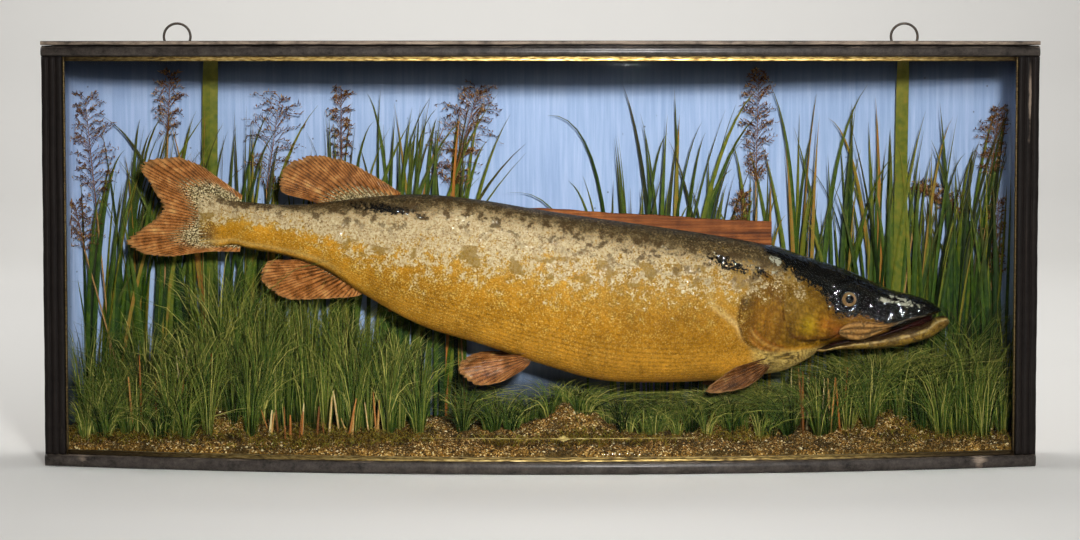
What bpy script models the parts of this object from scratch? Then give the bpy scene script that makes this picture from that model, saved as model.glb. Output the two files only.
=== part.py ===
"""Mounted pike in a bow-front glass case.

Frame: X runs along the case with the fish's head at +X, -Y is the bowed glass
front, +Z is up. The origin lies on the foot of the case, under the middle of
its bounding box. Lengths are in metres.
"""
import math

import bmesh
import bpy
import numpy as np

GAP = 0.0003                  # clearance between touching pieces

# Case
CASE_WIDTH = 1.270
CASE_HEIGHT = 0.5435          # foot to the top of the lid
BACK_Y = 0.1185               # rear face of the back board
END_DEPTH = 0.155             # front to back at the two ends
BOW = 0.085                   # how far the middle of the front swells out
BOW_STEPS = 18
HALF_WIDTH = CASE_WIDTH / 2

LID_THICKNESS = 0.0055
LID_OVERHANG = 0.001
CARCASS_THICKNESS = 0.012     # top and back boards
BOTTOM_THICKNESS = 0.014
SIDE_THICKNESS = 0.016
CARCASS_TOP_Z = CASE_HEIGHT - LID_THICKNESS - GAP
CEILING_Z = CARCASS_TOP_Z - CARCASS_THICKNESS
BACK_INNER_Y = BACK_Y - CARCASS_THICKNESS
SIDE_INNER_X = HALF_WIDTH - SIDE_THICKNESS

# Glazed front: depths are measured inwards from the bowed front line
FRAME_DEPTH = 0.010
STILE_WIDTH = 0.028
RAIL_HEIGHT = 0.0125
FOOT_RAIL_HEIGHT = 0.0156
SLIP_HEIGHT = 0.0056          # gilt slip at top and foot
SLIP_WIDTH = 0.0026           # gilt slip at the sides
SLIP_DEPTH = 0.004
GLASS_DEPTH = FRAME_DEPTH + GAP
GLASS_THICKNESS = 0.003
INSIDE_DEPTH = GLASS_DEPTH + GLASS_THICKNESS + GAP
SHADOW_GAP = 0.0012           # open joint under the lid
NOSE_DEPTH = 0.003            # rounding of the frame rails, depth and share of the height
NOSE_SHARE = 0.25
FOOT_NOSE_SHARE = 0.10
STILE_REEDS = 3
REED_SHAPE = (                # one reed of a stile: share of its width, depth
    (0.05, 0.0028), (0.28, 0.0004), (0.72, 0.0004), (0.95, 0.0028),
)
SLIP_CHAMFER = 0.001
TOP_RAIL_Z = CARCASS_TOP_Z - SHADOW_GAP
TOP_RAIL_FOOT_Z = TOP_RAIL_Z - RAIL_HEIGHT
STILE_INNER_X = HALF_WIDTH - STILE_WIDTH

# Hanging rings on the back
RING_X = 0.480
RING_TOP_Z = 0.5695
RING_RADIUS = 0.0172          # to the middle of the wire
WIRE_RADIUS = 0.00195
WIRE_SIDES = 6
WIRE_TURNS = 18
SHANK_LENGTH = 0.026
SHANK_HALF_WIDTH = 0.0021
SHANK_DEPTH = 0.0031
RING_Y = BACK_Y + GAP + WIRE_RADIUS
RING_Z = RING_TOP_Z - RING_RADIUS - WIRE_RADIUS

# Board and battens that carry the fish
BOARD_FRONT_Y = 0.0725
BOARD_THICKNESS = 0.008
BOARD_TAIL_X = -0.200
BOARD_HEAD_X = 0.303
BOARD_FOOT_Z = 0.190
BOARD_TAIL_TOP_Z = 0.3375
BOARD_HEAD_TOP_Z = 0.3075
BATTEN_XS = (0.025, 0.205)
BATTEN_WIDTH = 0.026
BATTEN_FOOT_Z = 0.210
BATTEN_TOP_Z = 0.290
BATTEN_BEVEL = 0.002

# Fish
FISH_Y = 0.0120               # middle plane of the fish
RING_COUNT = 24
LONGEST_BAY = 0.035           # between two rings of the body
PEDUNCLE_X = -0.285           # cuts between tail root, trunk halves and head
WAIST_X = 0.000
GILL_X = 0.262

# Stations of the body: x, back, belly, half width, height of the beam as a
# share of the depth, squareness of the section
BODY_STATIONS = (
    (-0.398, 0.3380, 0.2820, 0.0085, 0.50, 2.0),
    (-0.375, 0.3370, 0.2750, 0.0170, 0.50, 2.0),
    (-0.335, 0.3340, 0.2680, 0.0230, 0.50, 2.1),
    (-0.285, 0.3360, 0.2520, 0.0290, 0.50, 2.2),
    (-0.230, 0.3430, 0.2180, 0.0370, 0.50, 2.3),
    (-0.155, 0.3470, 0.1770, 0.0470, 0.52, 2.4),
    (-0.075, 0.3395, 0.1520, 0.0550, 0.53, 2.4),
    (0.000, 0.3270, 0.1270, 0.0600, 0.54, 2.4),
    (0.075, 0.3160, 0.1065, 0.0625, 0.54, 2.4),
    (0.150, 0.3055, 0.1030, 0.0630, 0.54, 2.4),
    (0.215, 0.2960, 0.1050, 0.0610, 0.53, 2.4),
    (0.262, 0.2880, 0.1080, 0.0570, 0.52, 2.4),
    (0.285, 0.2840, 0.1130, 0.0550, 0.50, 2.4),
    (0.307, 0.2800, 0.1160, 0.0525, 0.48, 2.3),
    (0.330, 0.2715, 0.1250, 0.0495, 0.44, 2.3),
    (0.350, 0.2650, 0.1365, 0.0460, 0.40, 2.2),
    (0.366, 0.2600, 0.1490, 0.0430, 0.36, 2.2),
    (0.385, 0.2540, 0.1555, 0.0405, 0.34, 2.2),
    (0.405, 0.2460, 0.1585, 0.0380, 0.32, 2.2),
    (0.430, 0.2345, 0.1620, 0.0345, 0.30, 2.2),
    (0.455, 0.2240, 0.1715, 0.0320, 0.28, 2.2),
    (0.480, 0.2180, 0.1810, 0.0295, 0.30, 2.2),
    (0.498, 0.2120, 0.1880, 0.0250, 0.36, 2.2),
    (0.510, 0.2055, 0.1915, 0.0175, 0.45, 2.1),
    (0.5165, 0.2000, 0.1945, 0.0085, 0.50, 2.0),
)
JAW_STATIONS = (
    (0.3640, 0.1470, 0.1430, 0.0300, 0.50, 2.0),
    (0.3780, 0.1515, 0.1462, 0.0330, 0.60, 2.1),
    (0.4000, 0.1555, 0.1468, 0.0340, 0.64, 2.2),
    (0.4250, 0.1568, 0.1472, 0.0330, 0.66, 2.2),
    (0.4450, 0.1600, 0.1485, 0.0315, 0.66, 2.2),
    (0.4650, 0.1645, 0.1505, 0.0295, 0.66, 2.2),
    (0.4850, 0.1700, 0.1560, 0.0268, 0.66, 2.2),
    (0.5000, 0.1755, 0.1605, 0.0225, 0.64, 2.2),
    (0.5100, 0.1830, 0.1652, 0.0185, 0.60, 2.1),
    (0.5185, 0.1865, 0.1702, 0.0138, 0.56, 2.1),
    (0.5250, 0.1868, 0.1758, 0.0088, 0.54, 2.0),
    (0.5285, 0.1848, 0.1797, 0.0040, 0.50, 2.0),
)
EYE_X = 0.3955
EYE_Z = 0.2135
EYE_RADIUS = 0.0118
EYE_OFFSET = 0.0305           # ball centre from the middle plane
EYE_SEGMENTS = 12
EYE_RINGS = 8

# Gill cover: its outline on the side of the head, as x and z
GILL_OUTLINE = (
    (0.3080, 0.2580), (0.2700, 0.2530), (0.2580, 0.2190), (0.2520, 0.1860),
    (0.2650, 0.1600), (0.2950, 0.1480), (0.3320, 0.1550), (0.3200, 0.1700),
    (0.3120, 0.1950), (0.3110, 0.2300),
)
GILL_CENTRE = (0.2880, 0.2050)
GILL_THICKNESS = 0.0045
GILL_PROUD = 0.0010
GILL_RINGS = 3
RECESS_GAP = 0.0014           # play behind the cover
RECESS_REACH = 0.012          # how far the recess cutter stands out of the skin
GILL_POINTS = 20

# Fins: root line, outer margin and the sideways set of the tip. Points are
# x and z; the roots lie inside the body and are cut back to its skin.
FIN_ROOT_THICKNESS = 0.0050
FIN_EDGE_THICKNESS = 0.0014
WEB_SHARE = 0.62              # thickness of the web between rays, as a share
CAUDAL_ROOT = ((-0.386, 0.3330), (-0.386, 0.2840))
CAUDAL_MARGIN = (
    (-0.384, 0.3460), (-0.412, 0.3660), (-0.445, 0.3880), (-0.478, 0.3950), (-0.517, 0.3860),
    (-0.504, 0.3600), (-0.489, 0.3290), (-0.505, 0.3090), (-0.536, 0.2860), (-0.512, 0.2700),
    (-0.478, 0.2660), (-0.433, 0.2720), (-0.388, 0.2720),
)
DORSAL_ROOT = ((-0.180, 0.3400), (-0.285, 0.3280))
DORSAL_MARGIN = (
    (-0.180, 0.3490), (-0.206, 0.3660), (-0.236, 0.3830), (-0.268, 0.3950), (-0.300, 0.3965),
    (-0.326, 0.3860), (-0.337, 0.3640), (-0.331, 0.3480), (-0.305, 0.3420), (-0.285, 0.3360),
)
ANAL_ROOT = ((-0.226, 0.2300), (-0.300, 0.2680))
ANAL_MARGIN = (
    (-0.228, 0.2180), (-0.246, 0.2130), (-0.284, 0.2110), (-0.323, 0.2100), (-0.349, 0.2220),
    (-0.362, 0.2400), (-0.352, 0.2600), (-0.325, 0.2620), (-0.302, 0.2600),
)
PELVIC_ROOT = ((-0.006, 0.1430), (-0.012, 0.1330))
PELVIC_MARGIN = (
    (-0.010, 0.1450), (-0.045, 0.1415), (-0.082, 0.1390), (-0.105, 0.1255), (-0.098, 0.1120),
    (-0.078, 0.1020), (-0.050, 0.1070), (-0.024, 0.1210), (-0.014, 0.1290),
)
PELVIC_SIDE = 0.016           # root from the middle plane
PELVIC_FLARE = 0.016          # how much further out the tip stands
PECTORAL_ROOT = ((0.296, 0.1390), (0.294, 0.1270))
PECTORAL_MARGIN = (
    (0.288, 0.1395), (0.270, 0.1340), (0.248, 0.1265), (0.226, 0.1110), (0.211, 0.0960),
    (0.232, 0.0945), (0.258, 0.1000), (0.275, 0.1090), (0.290, 0.1225),
)
PECTORAL_SIDE = 0.034
PECTORAL_FLARE = 0.014

# Groundwork
GROUND_FOOT_Z = BOTTOM_THICKNESS + GAP
GROUND_FRONT_Z = 0.027
GROUND_BACK_Z = 0.047
GROUND_COLUMNS = 32
GROUND_ROWS = 7
RIPPLE = 0.003
HUMMOCK_STRETCH = 2.2         # hummocks are longer than deep
HUMMOCKS = (                  # x, y, radius, height
    (-0.415, 0.030, 0.075, 0.030),
    (-0.180, 0.050, 0.060, 0.014),
    (0.040, 0.020, 0.060, 0.032),
    (0.245, 0.030, 0.060, 0.034),
    (0.445, 0.020, 0.065, 0.030),
)

# Reed and grass fans: first and last x, y, root depth, tallest z, blades, lean
FAN_THICKNESS = 0.0014
FAN_ROOT_Z = 0.030
REED_COMB_Z = 0.052           # where the sheet divides into blades
GRASS_COMB_Z = 0.044
GRASS_HEIGHT = 0.2            # a fan lower than this is grass
BLADE_WIDTH = 0.012
BLADE_SHARE = 0.62            # width of a blade as a share of its pitch, at most
SHORTEST_BLADE = 0.62         # as a share of the tallest
WAIST_SHARE = 0.76            # blade width halfway up, and its share of the lean
WAIST_LEAN = 0.35
SLOT_TOP_Z = 0.2
FANS = {
    "reeds_left": (-0.600, -0.470, 0.0960, 0.500, 8, 0.030),
    "reeds_left_inner": (-0.440, -0.230, 0.0960, 0.440, 11, -0.030),
    "reeds_middle": (-0.160, -0.070, 0.0960, 0.480, 6, 0.025),
    "reeds_right_inner": (0.070, 0.170, 0.0960, 0.470, 6, -0.025),
    "reeds_right_middle": (0.250, 0.410, 0.0960, 0.500, 8, 0.025),
    "reeds_right": (0.430, 0.600, 0.0960, 0.470, 9, -0.030),
    "grass_left": (-0.560, -0.300, -0.0150, 0.165, 10, 0.020),
    "grass_right": (0.330, 0.590, -0.0050, 0.134, 10, 0.020),
}


def clear_scene():
    """Remove every object of the starting scene."""
    for item in list(bpy.data.objects):
        bpy.data.objects.remove(item, do_unlink=True)


def finish(name, colour, roughness, metallic=0.0):
    """A Principled material in a linear colour."""
    material = bpy.data.materials.new(name)
    material.use_nodes = True
    shader = material.node_tree.nodes["Principled BSDF"]
    shader.inputs["Base Color"].default_value = (*colour, 1.0)
    shader.inputs["Roughness"].default_value = roughness
    shader.inputs["Metallic"].default_value = metallic
    return material


def solid(name, vertices, faces, material, crease=40.0):
    """A closed mesh object whose faces point outwards."""
    mesh = bpy.data.meshes.new(name)
    mesh.from_pydata([tuple(map(float, vertex)) for vertex in vertices], [], faces)
    body = bmesh.new()
    body.from_mesh(mesh)
    bmesh.ops.remove_doubles(body, verts=body.verts, dist=1e-6)
    bmesh.ops.recalc_face_normals(body, faces=body.faces)
    body.to_mesh(mesh)
    body.free()
    mesh.shade_smooth()
    mesh.set_sharp_from_angle(angle=math.radians(crease))
    mesh.materials.append(material)
    item = bpy.data.objects.new(name, mesh)
    bpy.context.collection.objects.link(item)
    return item


def cut(item, cutter):
    """Take the cutter's shape out of a piece."""
    cutter.hide_render = True
    cutter.display_type = "WIRE"
    modifier = item.modifiers.new("cut", "BOOLEAN")
    modifier.operation = "DIFFERENCE"
    modifier.solver = "EXACT"
    modifier.object = cutter


def tube_faces(rings, count, closed=False):
    """Quads between successive rings, with end caps unless the tube is closed."""
    faces = []
    last = rings if closed else rings - 1
    for i in range(last):
        for j in range(count):
            k = (j + 1) % count
            a = i * count
            b = ((i + 1) % rings) * count
            faces.append((a + j, a + k, b + k, b + j))
    if not closed:
        faces.append(tuple(range(count)))
        faces.append(tuple(range((rings - 1) * count, rings * count)))
    return faces


def smooth_curve(knots, count, closed=False):
    """Points on a Catmull-Rom curve through the knots."""
    knots = np.asarray(knots, float)
    total = len(knots)
    position = np.linspace(0.0, total if closed else total - 1, count, endpoint=not closed)
    index = np.floor(position).astype(int)
    if not closed:
        index = np.minimum(index, total - 2)
    u = (position - index)[:, None]

    def knot(offset):
        place = index + offset
        return knots[place % total] if closed else knots[np.clip(place, 0, total - 1)]

    before, start, end, after = knot(-1), knot(0), knot(1), knot(2)
    return 0.5 * (2 * start + (end - before) * u
                  + (2 * before - 5 * start + 4 * end - after) * u ** 2
                  + (3 * start - before - 3 * end + after) * u ** 3)


# ------------------------------------------------------------------- the case

def bow_y(x):
    """Front line of the case in plan: a parabola from corner to corner."""
    corner = BACK_Y - END_DEPTH
    return corner - BOW * (1.0 - (np.asarray(x) / HALF_WIDTH) ** 2)


def bowed_board(name, half, depth, rear_y, foot, top, material):
    """A board with a bowed front edge and a straight rear edge."""
    xs = np.linspace(-half, half, BOW_STEPS + 1)
    front = [(x, y) for x, y in zip(xs, bow_y(xs) + depth)]
    plan = front + [(half, rear_y), (-half, rear_y)]
    vertices = [(x, y, z) for z in (foot, top) for x, y in plan]
    return solid(name, vertices, tube_faces(2, len(plan)), material)


def bowed_strip(name, first, last, section, steps, material):
    """A strip swept along the bow; the section is a loop of depth and height."""
    xs = np.linspace(first, last, steps + 1)
    vertices = [(x, y + depth, z) for x, y in zip(xs, bow_y(xs)) for depth, z in section]
    return solid(name, vertices, tube_faces(len(xs), len(section)), material)


def box(name, low, high, material, bevel=0.0):
    """A rectangular block between two corners, with a small bevel if wanted."""
    corners = [(x, y, z) for z in (low[2], high[2])
               for x, y in ((low[0], low[1]), (high[0], low[1]), (high[0], high[1]), (low[0], high[1]))]
    item = solid(name, corners, tube_faces(2, 4), material)
    if bevel:
        modifier = item.modifiers.new("bevel", "BEVEL")
        modifier.width = bevel
        modifier.segments = 1
    return item


def moulded(foot, top, round_at_top):
    """Section of a frame rail: a flat face with a rounded outer nose."""
    height = top - foot
    foot_nose = (FOOT_NOSE_SHARE if round_at_top else NOSE_SHARE) * height
    return [(FRAME_DEPTH, foot), (FRAME_DEPTH, top), (NOSE_DEPTH, top),
            (0.0, top - NOSE_SHARE * height), (0.0, foot + foot_nose), (NOSE_DEPTH, foot)]


def build_case():
    """Boards of the box, with its lid standing on an open joint."""
    ebony = finish("ebonised_pine", (0.018, 0.014, 0.012), 0.45)
    blue = finish("distempered_board", (0.36, 0.50, 0.74), 0.85)
    bowed_board("lid", HALF_WIDTH, -LID_OVERHANG, BACK_Y,
                CASE_HEIGHT - LID_THICKNESS, CASE_HEIGHT, ebony)
    bowed_board("case_top", HALF_WIDTH, GLASS_DEPTH, BACK_Y, CEILING_Z, CARCASS_TOP_Z, ebony)
    bowed_board("case_bottom", HALF_WIDTH, GLASS_DEPTH, BACK_Y, 0.0, BOTTOM_THICKNESS, ebony)
    wall_foot = BOTTOM_THICKNESS + GAP
    wall_top = CEILING_Z - GAP
    box("case_back", (-HALF_WIDTH, BACK_INNER_Y, wall_foot), (HALF_WIDTH, BACK_Y, wall_top), blue)
    front_y = float(bow_y(HALF_WIDTH)) + GLASS_DEPTH
    for side, sign in (("left", -1), ("right", 1)):
        xs = sorted((sign * SIDE_INNER_X, sign * HALF_WIDTH))
        box(f"case_side_{side}", (xs[0], front_y, wall_foot),
            (xs[1], BACK_INNER_Y - GAP, wall_top), ebony)


def build_front():
    """Ebonised frame, gilt slips and the bowed pane behind them."""
    ebony = finish("ebonised_frame", (0.014, 0.011, 0.010), 0.35)
    gilt = finish("gilt_slip", (0.60, 0.42, 0.16), 0.38, 0.9)
    glass = finish("sheet_glass", (0.80, 0.86, 0.84), 0.03)
    bowed_strip("frame_rail_top", -HALF_WIDTH, HALF_WIDTH,
                moulded(TOP_RAIL_FOOT_Z, TOP_RAIL_Z, False), BOW_STEPS, ebony)
    bowed_strip("frame_rail_foot", -HALF_WIDTH, HALF_WIDTH,
                moulded(0.0, FOOT_RAIL_HEIGHT, True), BOW_STEPS, ebony)
    low = FOOT_RAIL_HEIGHT + GAP
    high = TOP_RAIL_FOOT_Z - GAP
    reed = STILE_WIDTH / STILE_REEDS
    for side, sign in (("left", -1), ("right", 1)):
        plan = [(HALF_WIDTH, FRAME_DEPTH), (STILE_INNER_X, FRAME_DEPTH)]
        for i in range(STILE_REEDS):
            start = STILE_INNER_X + i * reed
            plan += [(start + share * reed, depth) for share, depth in REED_SHAPE]
        vertices = [(sign * x, float(bow_y(x)) + depth, z) for z in (low, high) for x, depth in plan]
        solid(f"frame_stile_{side}", vertices, tube_faces(2, len(plan)), ebony)
        inner = STILE_INNER_X - GAP
        slip = [(SLIP_DEPTH, low), (FRAME_DEPTH, low), (FRAME_DEPTH, high), (SLIP_DEPTH, high)]
        bowed_strip(f"gilt_slip_{side}", sign * (inner - SLIP_WIDTH), sign * inner, slip, 1, gilt)
    reach = STILE_INNER_X - SLIP_WIDTH - 2 * GAP
    for name, foot in (("gilt_slip_foot", low), ("gilt_slip_top", high - SLIP_HEIGHT)):
        top = foot + SLIP_HEIGHT
        slip = [(FRAME_DEPTH, foot), (FRAME_DEPTH, top), (SLIP_DEPTH, top - SLIP_CHAMFER),
                (SLIP_DEPTH, foot + SLIP_CHAMFER)]
        bowed_strip(name, -reach, reach, slip, BOW_STEPS, gilt)
    pane_foot = BOTTOM_THICKNESS + GAP
    pane_top = CEILING_Z - GAP
    pane = [(GLASS_DEPTH, pane_foot), (GLASS_DEPTH + GLASS_THICKNESS, pane_foot),
            (GLASS_DEPTH + GLASS_THICKNESS, pane_top), (GLASS_DEPTH, pane_top)]
    bowed_strip("glass_front", -SIDE_INNER_X + GAP, SIDE_INNER_X - GAP, pane, BOW_STEPS, glass)


def build_rings():
    """Two wire hanging rings, each with a shank that lies on the back board."""
    iron = finish("iron_wire", (0.045, 0.035, 0.028), 0.55, 0.8)
    for side, sign in (("left", -1), ("right", 1)):
        middle_x = sign * RING_X
        vertices = []
        for i in range(WIRE_TURNS):
            angle = 2 * math.pi * i / WIRE_TURNS
            for k in range(WIRE_SIDES):
                turn = 2 * math.pi * k / WIRE_SIDES
                radius = RING_RADIUS + WIRE_RADIUS * math.cos(turn)
                vertices.append((middle_x + radius * math.sin(angle),
                                 RING_Y + WIRE_RADIUS * math.sin(turn),
                                 RING_Z - radius * math.cos(angle)))
        ring = solid(f"hanging_ring_{side}", vertices,
                     tube_faces(WIRE_TURNS, WIRE_SIDES, closed=True), iron)
        top = RING_Z - RING_RADIUS
        shank = box(f"shank_{side}",
                    (middle_x - SHANK_HALF_WIDTH, BACK_Y + GAP, top - SHANK_LENGTH),
                    (middle_x + SHANK_HALF_WIDTH, BACK_Y + GAP + SHANK_DEPTH, top), iron)
        join = ring.modifiers.new("shank", "BOOLEAN")
        join.operation = "UNION"
        join.solver = "EXACT"
        join.object = shank
        shank.hide_render = True
        shank.display_type = "WIRE"


def build_support():
    """The board behind the fish and the battens that hold it off the back."""
    stained = finish("stained_board", (0.23, 0.055, 0.030), 0.6)
    pine = finish("pine_batten", (0.42, 0.27, 0.14), 0.7)
    outline = ((BOARD_TAIL_X, BOARD_FOOT_Z), (BOARD_HEAD_X, BOARD_FOOT_Z),
               (BOARD_HEAD_X, BOARD_HEAD_TOP_Z), (BOARD_TAIL_X, BOARD_TAIL_TOP_Z))
    rear_y = BOARD_FRONT_Y + BOARD_THICKNESS
    vertices = [(x, y, z) for y in (BOARD_FRONT_Y, rear_y) for x, z in outline]
    solid("backing_board", vertices, tube_faces(2, 4), stained)
    for i, x in enumerate(BATTEN_XS):
        half = BATTEN_WIDTH / 2
        box(f"batten_{i + 1}", (x - half, rear_y + GAP, BATTEN_FOOT_Z),
            (x + half, BACK_INNER_Y - GAP, BATTEN_TOP_Z), pine, bevel=BATTEN_BEVEL)


# ------------------------------------------------------------------- the pike

def section_ring(station, inflate=0.0):
    """One ring of the body: two half superellipses that meet at the beam."""
    x, top, bottom, half, beam, square = station
    angle = 2 * math.pi * np.arange(RING_COUNT) / RING_COUNT
    up, out = np.cos(angle), np.sin(angle)
    level = bottom + beam * (top - bottom)
    rise = np.where(up > 0, top - level, level - bottom) + inflate
    y = FISH_Y - np.sign(out) * np.abs(out) ** (2 / square) * (half + inflate)
    z = level + np.sign(up) * np.abs(up) ** (2 / square) * rise
    y = np.minimum(y, BOARD_FRONT_Y - GAP + inflate)
    return [(x, float(a), float(b)) for a, b in zip(y, z)]


def side_y(x, z):
    """Distance of the skin from the middle plane at a point seen from the side."""
    table = np.array(BODY_STATIONS)
    top, bottom, half, beam, square = (np.interp(x, table[:, 0], table[:, i]) for i in range(1, 6))
    level = bottom + beam * (top - bottom)
    rise = np.where(z > level, top - level, level - bottom)
    share = np.clip(np.abs(z - level) / rise, 0.0, 1.0)
    return half * (1.0 - share ** square) ** (1.0 / square)


def filled_stations():
    """Body stations with a smooth one added in the middle of each long gap."""
    rows = [list(row) for row in BODY_STATIONS]
    filled = []
    for i, (a, b) in enumerate(zip(rows[:-1], rows[1:])):
        filled.append(a)
        if b[0] - a[0] > LONGEST_BAY:
            before = rows[max(i - 1, 0)]
            after = rows[min(i + 2, len(rows) - 1)]
            halfway = [(9 * (p + q) - (o + r)) / 16 for o, p, q, r in zip(before, a, b, after)]
            halfway[0] = 0.5 * (a[0] + b[0])
            filled.append(halfway)
    filled.append(rows[-1])
    return filled


def length_of_body(first, last):
    """Stations from one cut to the next, each end drawn back by half a gap."""
    part = [list(row) for row in filled_stations() if first <= row[0] <= last]
    part[0][0] += GAP / 2
    part[-1][0] -= GAP / 2
    return part


def loft(name, stations, material, inflate=0.0):
    """A closed body through the rings of its stations."""
    vertices = [point for station in stations for point in section_ring(station, inflate)]
    return solid(name, vertices, tube_faces(len(stations), RING_COUNT), material, crease=50.0)


def build_body():
    """Tail root, trunk in two lengths, head and lower jaw."""
    flank = finish("pike_flank", (0.42, 0.30, 0.12), 0.35)
    crown = finish("pike_crown", (0.16, 0.12, 0.06), 0.3)
    pale = finish("pike_jaw", (0.55, 0.42, 0.20), 0.35)
    tail_x = BODY_STATIONS[0][0]
    snout_x = BODY_STATIONS[-1][0]
    pieces = (("tail_root", tail_x, PEDUNCLE_X, flank), ("trunk_rear", PEDUNCLE_X, WAIST_X, flank),
              ("trunk_front", WAIST_X, GILL_X, flank), ("head", GILL_X, snout_x, crown))
    made = {}
    for name, first, last, material in pieces:
        made[name] = loft(name, length_of_body(first, last), material)
    loft("lower_jaw", JAW_STATIONS, pale)
    return made


def gill_solid(name, outline_grow, inner, outer, material, sign):
    """A plate on the side of the head, from depth inner to depth outer."""
    centre = np.array(GILL_CENTRE)
    edge = smooth_curve(GILL_OUTLINE, GILL_POINTS, closed=True)
    tangent = np.roll(edge, -1, axis=0) - np.roll(edge, 1, axis=0)
    normal = np.stack((-tangent[:, 1], tangent[:, 0]), axis=1)
    normal /= -np.linalg.norm(normal, axis=1, keepdims=True)
    arm = edge + normal * outline_grow - centre
    vertices = []
    for depth in (outer, inner):
        for ring in range(1, GILL_RINGS + 1):
            spot = centre + arm * ring / GILL_RINGS
            y = side_y(spot[:, 0], spot[:, 1]) + depth
            vertices += [(x, FISH_Y - sign * w, z) for (x, z), w in zip(spot, y)]
    mid_y = float(side_y(centre[0], centre[1]))
    vertices.append((centre[0], FISH_Y - sign * (mid_y + outer), centre[1]))
    vertices.append((centre[0], FISH_Y - sign * (mid_y + inner), centre[1]))
    outer_mid = len(vertices) - 2
    inner_mid = len(vertices) - 1
    layer = GILL_RINGS * GILL_POINTS
    faces = []
    for j in range(GILL_POINTS):
        k = (j + 1) % GILL_POINTS
        faces.append((outer_mid, j, k))
        faces.append((inner_mid, layer + k, layer + j))
        for ring in range(GILL_RINGS - 1):
            a = ring * GILL_POINTS
            b = a + GILL_POINTS
            faces.append((a + j, b + j, b + k, a + k))
            faces.append((layer + a + k, layer + b + k, layer + b + j, layer + a + j))
        rim = (GILL_RINGS - 1) * GILL_POINTS
        faces.append((rim + j, layer + rim + j, layer + rim + k, rim + k))
    return solid(name, vertices, faces, material)


def build_gill_covers(body):
    """The two gill covers, let into the head and the shoulder behind it."""
    cheek = finish("pike_cheek", (0.40, 0.30, 0.12), 0.3)
    for side, sign in (("right", 1), ("left", -1)):
        gill_solid(f"gill_cover_{side}", 0.0, -GILL_THICKNESS, GILL_PROUD, cheek, sign)
        recess = gill_solid(f"gill_recess_{side}", 2 * GAP, -GILL_THICKNESS - RECESS_GAP,
                            RECESS_REACH, cheek, sign)
        cut(body["head"], recess)
        cut(body["trunk_front"], recess)


def ball(name, centre, radius, material, segments=EYE_SEGMENTS, rings=EYE_RINGS):
    """A closed ball with its poles on the Y axis."""
    vertices = []
    for i in range(1, rings):
        tilt = math.pi * i / rings
        for j in range(segments):
            turn = 2 * math.pi * j / segments
            vertices.append((centre[0] + radius * math.sin(tilt) * math.cos(turn),
                             centre[1] - radius * math.cos(tilt),
                             centre[2] + radius * math.sin(tilt) * math.sin(turn)))
    return solid(name, vertices, tube_faces(rings - 1, segments), material, crease=180.0)


def build_eyes(body):
    """Glass eyes, each in a socket of the head."""
    amber = finish("glass_eye", (0.10, 0.07, 0.02), 0.08)
    for side, sign in (("right", 1), ("left", -1)):
        centre = (EYE_X, FISH_Y - sign * EYE_OFFSET, EYE_Z)
        ball(f"eye_{side}", centre, EYE_RADIUS, amber)
        cut(body["head"], ball(f"socket_{side}", centre, EYE_RADIUS + 2 * GAP, amber))


def fin(name, root, margin, material, body_skin, columns, rows, side=0.0, flare=0.0):
    """A fin: rays from the root line to a curved margin, thick at the root.

    side and flare are the distances of the root and of the tip from the
    fish's middle plane; a fin with rays on every second column is ribbed.
    """
    rim = smooth_curve(margin, columns + 1)
    share = np.linspace(0.0, 1.0, columns + 1)[:, None]
    base = np.array(root[0]) * (1.0 - share) + np.array(root[1]) * share
    rib = np.where(np.arange(columns + 1) % 2 == 0, 1.0, WEB_SHARE)
    sides = []
    for face in (1.0, -1.0):
        grid = []
        for i in range(rows + 1):
            out = i / rows
            spot = base * (1.0 - out) + rim * out
            thick = FIN_ROOT_THICKNESS * (1.0 - out) + FIN_EDGE_THICKNESS * out
            away = side + np.sign(side) * flare * out
            y = FISH_Y - away - face * 0.5 * thick * rib
            grid.append([(float(x), float(w), float(z)) for (x, z), w in zip(spot, y)])
        sides.append(grid)
    width = columns + 1
    vertices = [point for grid in sides for row in grid for point in row]
    layer = width * (rows + 1)
    faces = []
    for i in range(rows):
        for j in range(columns):
            a = i * width + j
            faces.append((a, a + 1, a + width + 1, a + width))
            faces.append((layer + a, layer + a + width, layer + a + width + 1, layer + a + 1))
    border = [j for j in range(columns)]
    border += [i * width + columns for i in range(rows)]
    border += [rows * width + j for j in range(columns, 0, -1)]
    border += [i * width for i in range(rows, 0, -1)]
    for a, b in zip(border, border[1:] + border[:1]):
        faces.append((a, layer + a, layer + b, b))
    item = solid(name, vertices, faces, material)
    cut(item, body_skin)
    return item


def build_fins():
    """All fins, each cut back to the skin it grows from."""
    russet = finish("pike_fin", (0.36, 0.13, 0.05), 0.4)
    skin = loft("body_skin", filled_stations(), russet, inflate=GAP)
    fin("caudal_fin", CAUDAL_ROOT, CAUDAL_MARGIN, russet, skin, 24, 4)
    fin("dorsal_fin", DORSAL_ROOT, DORSAL_MARGIN, russet, skin, 16, 3)
    fin("anal_fin", ANAL_ROOT, ANAL_MARGIN, russet, skin, 14, 3)
    for side, sign in (("right", 1), ("left", -1)):
        fin(f"pelvic_fin_{side}", PELVIC_ROOT, PELVIC_MARGIN, russet, skin, 12, 3,
            sign * PELVIC_SIDE, PELVIC_FLARE)
        fin(f"pectoral_fin_{side}", PECTORAL_ROOT, PECTORAL_MARGIN, russet, skin, 12, 3,
            sign * PECTORAL_SIDE, PECTORAL_FLARE)


# ------------------------------------------------------- groundwork and plants

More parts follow.
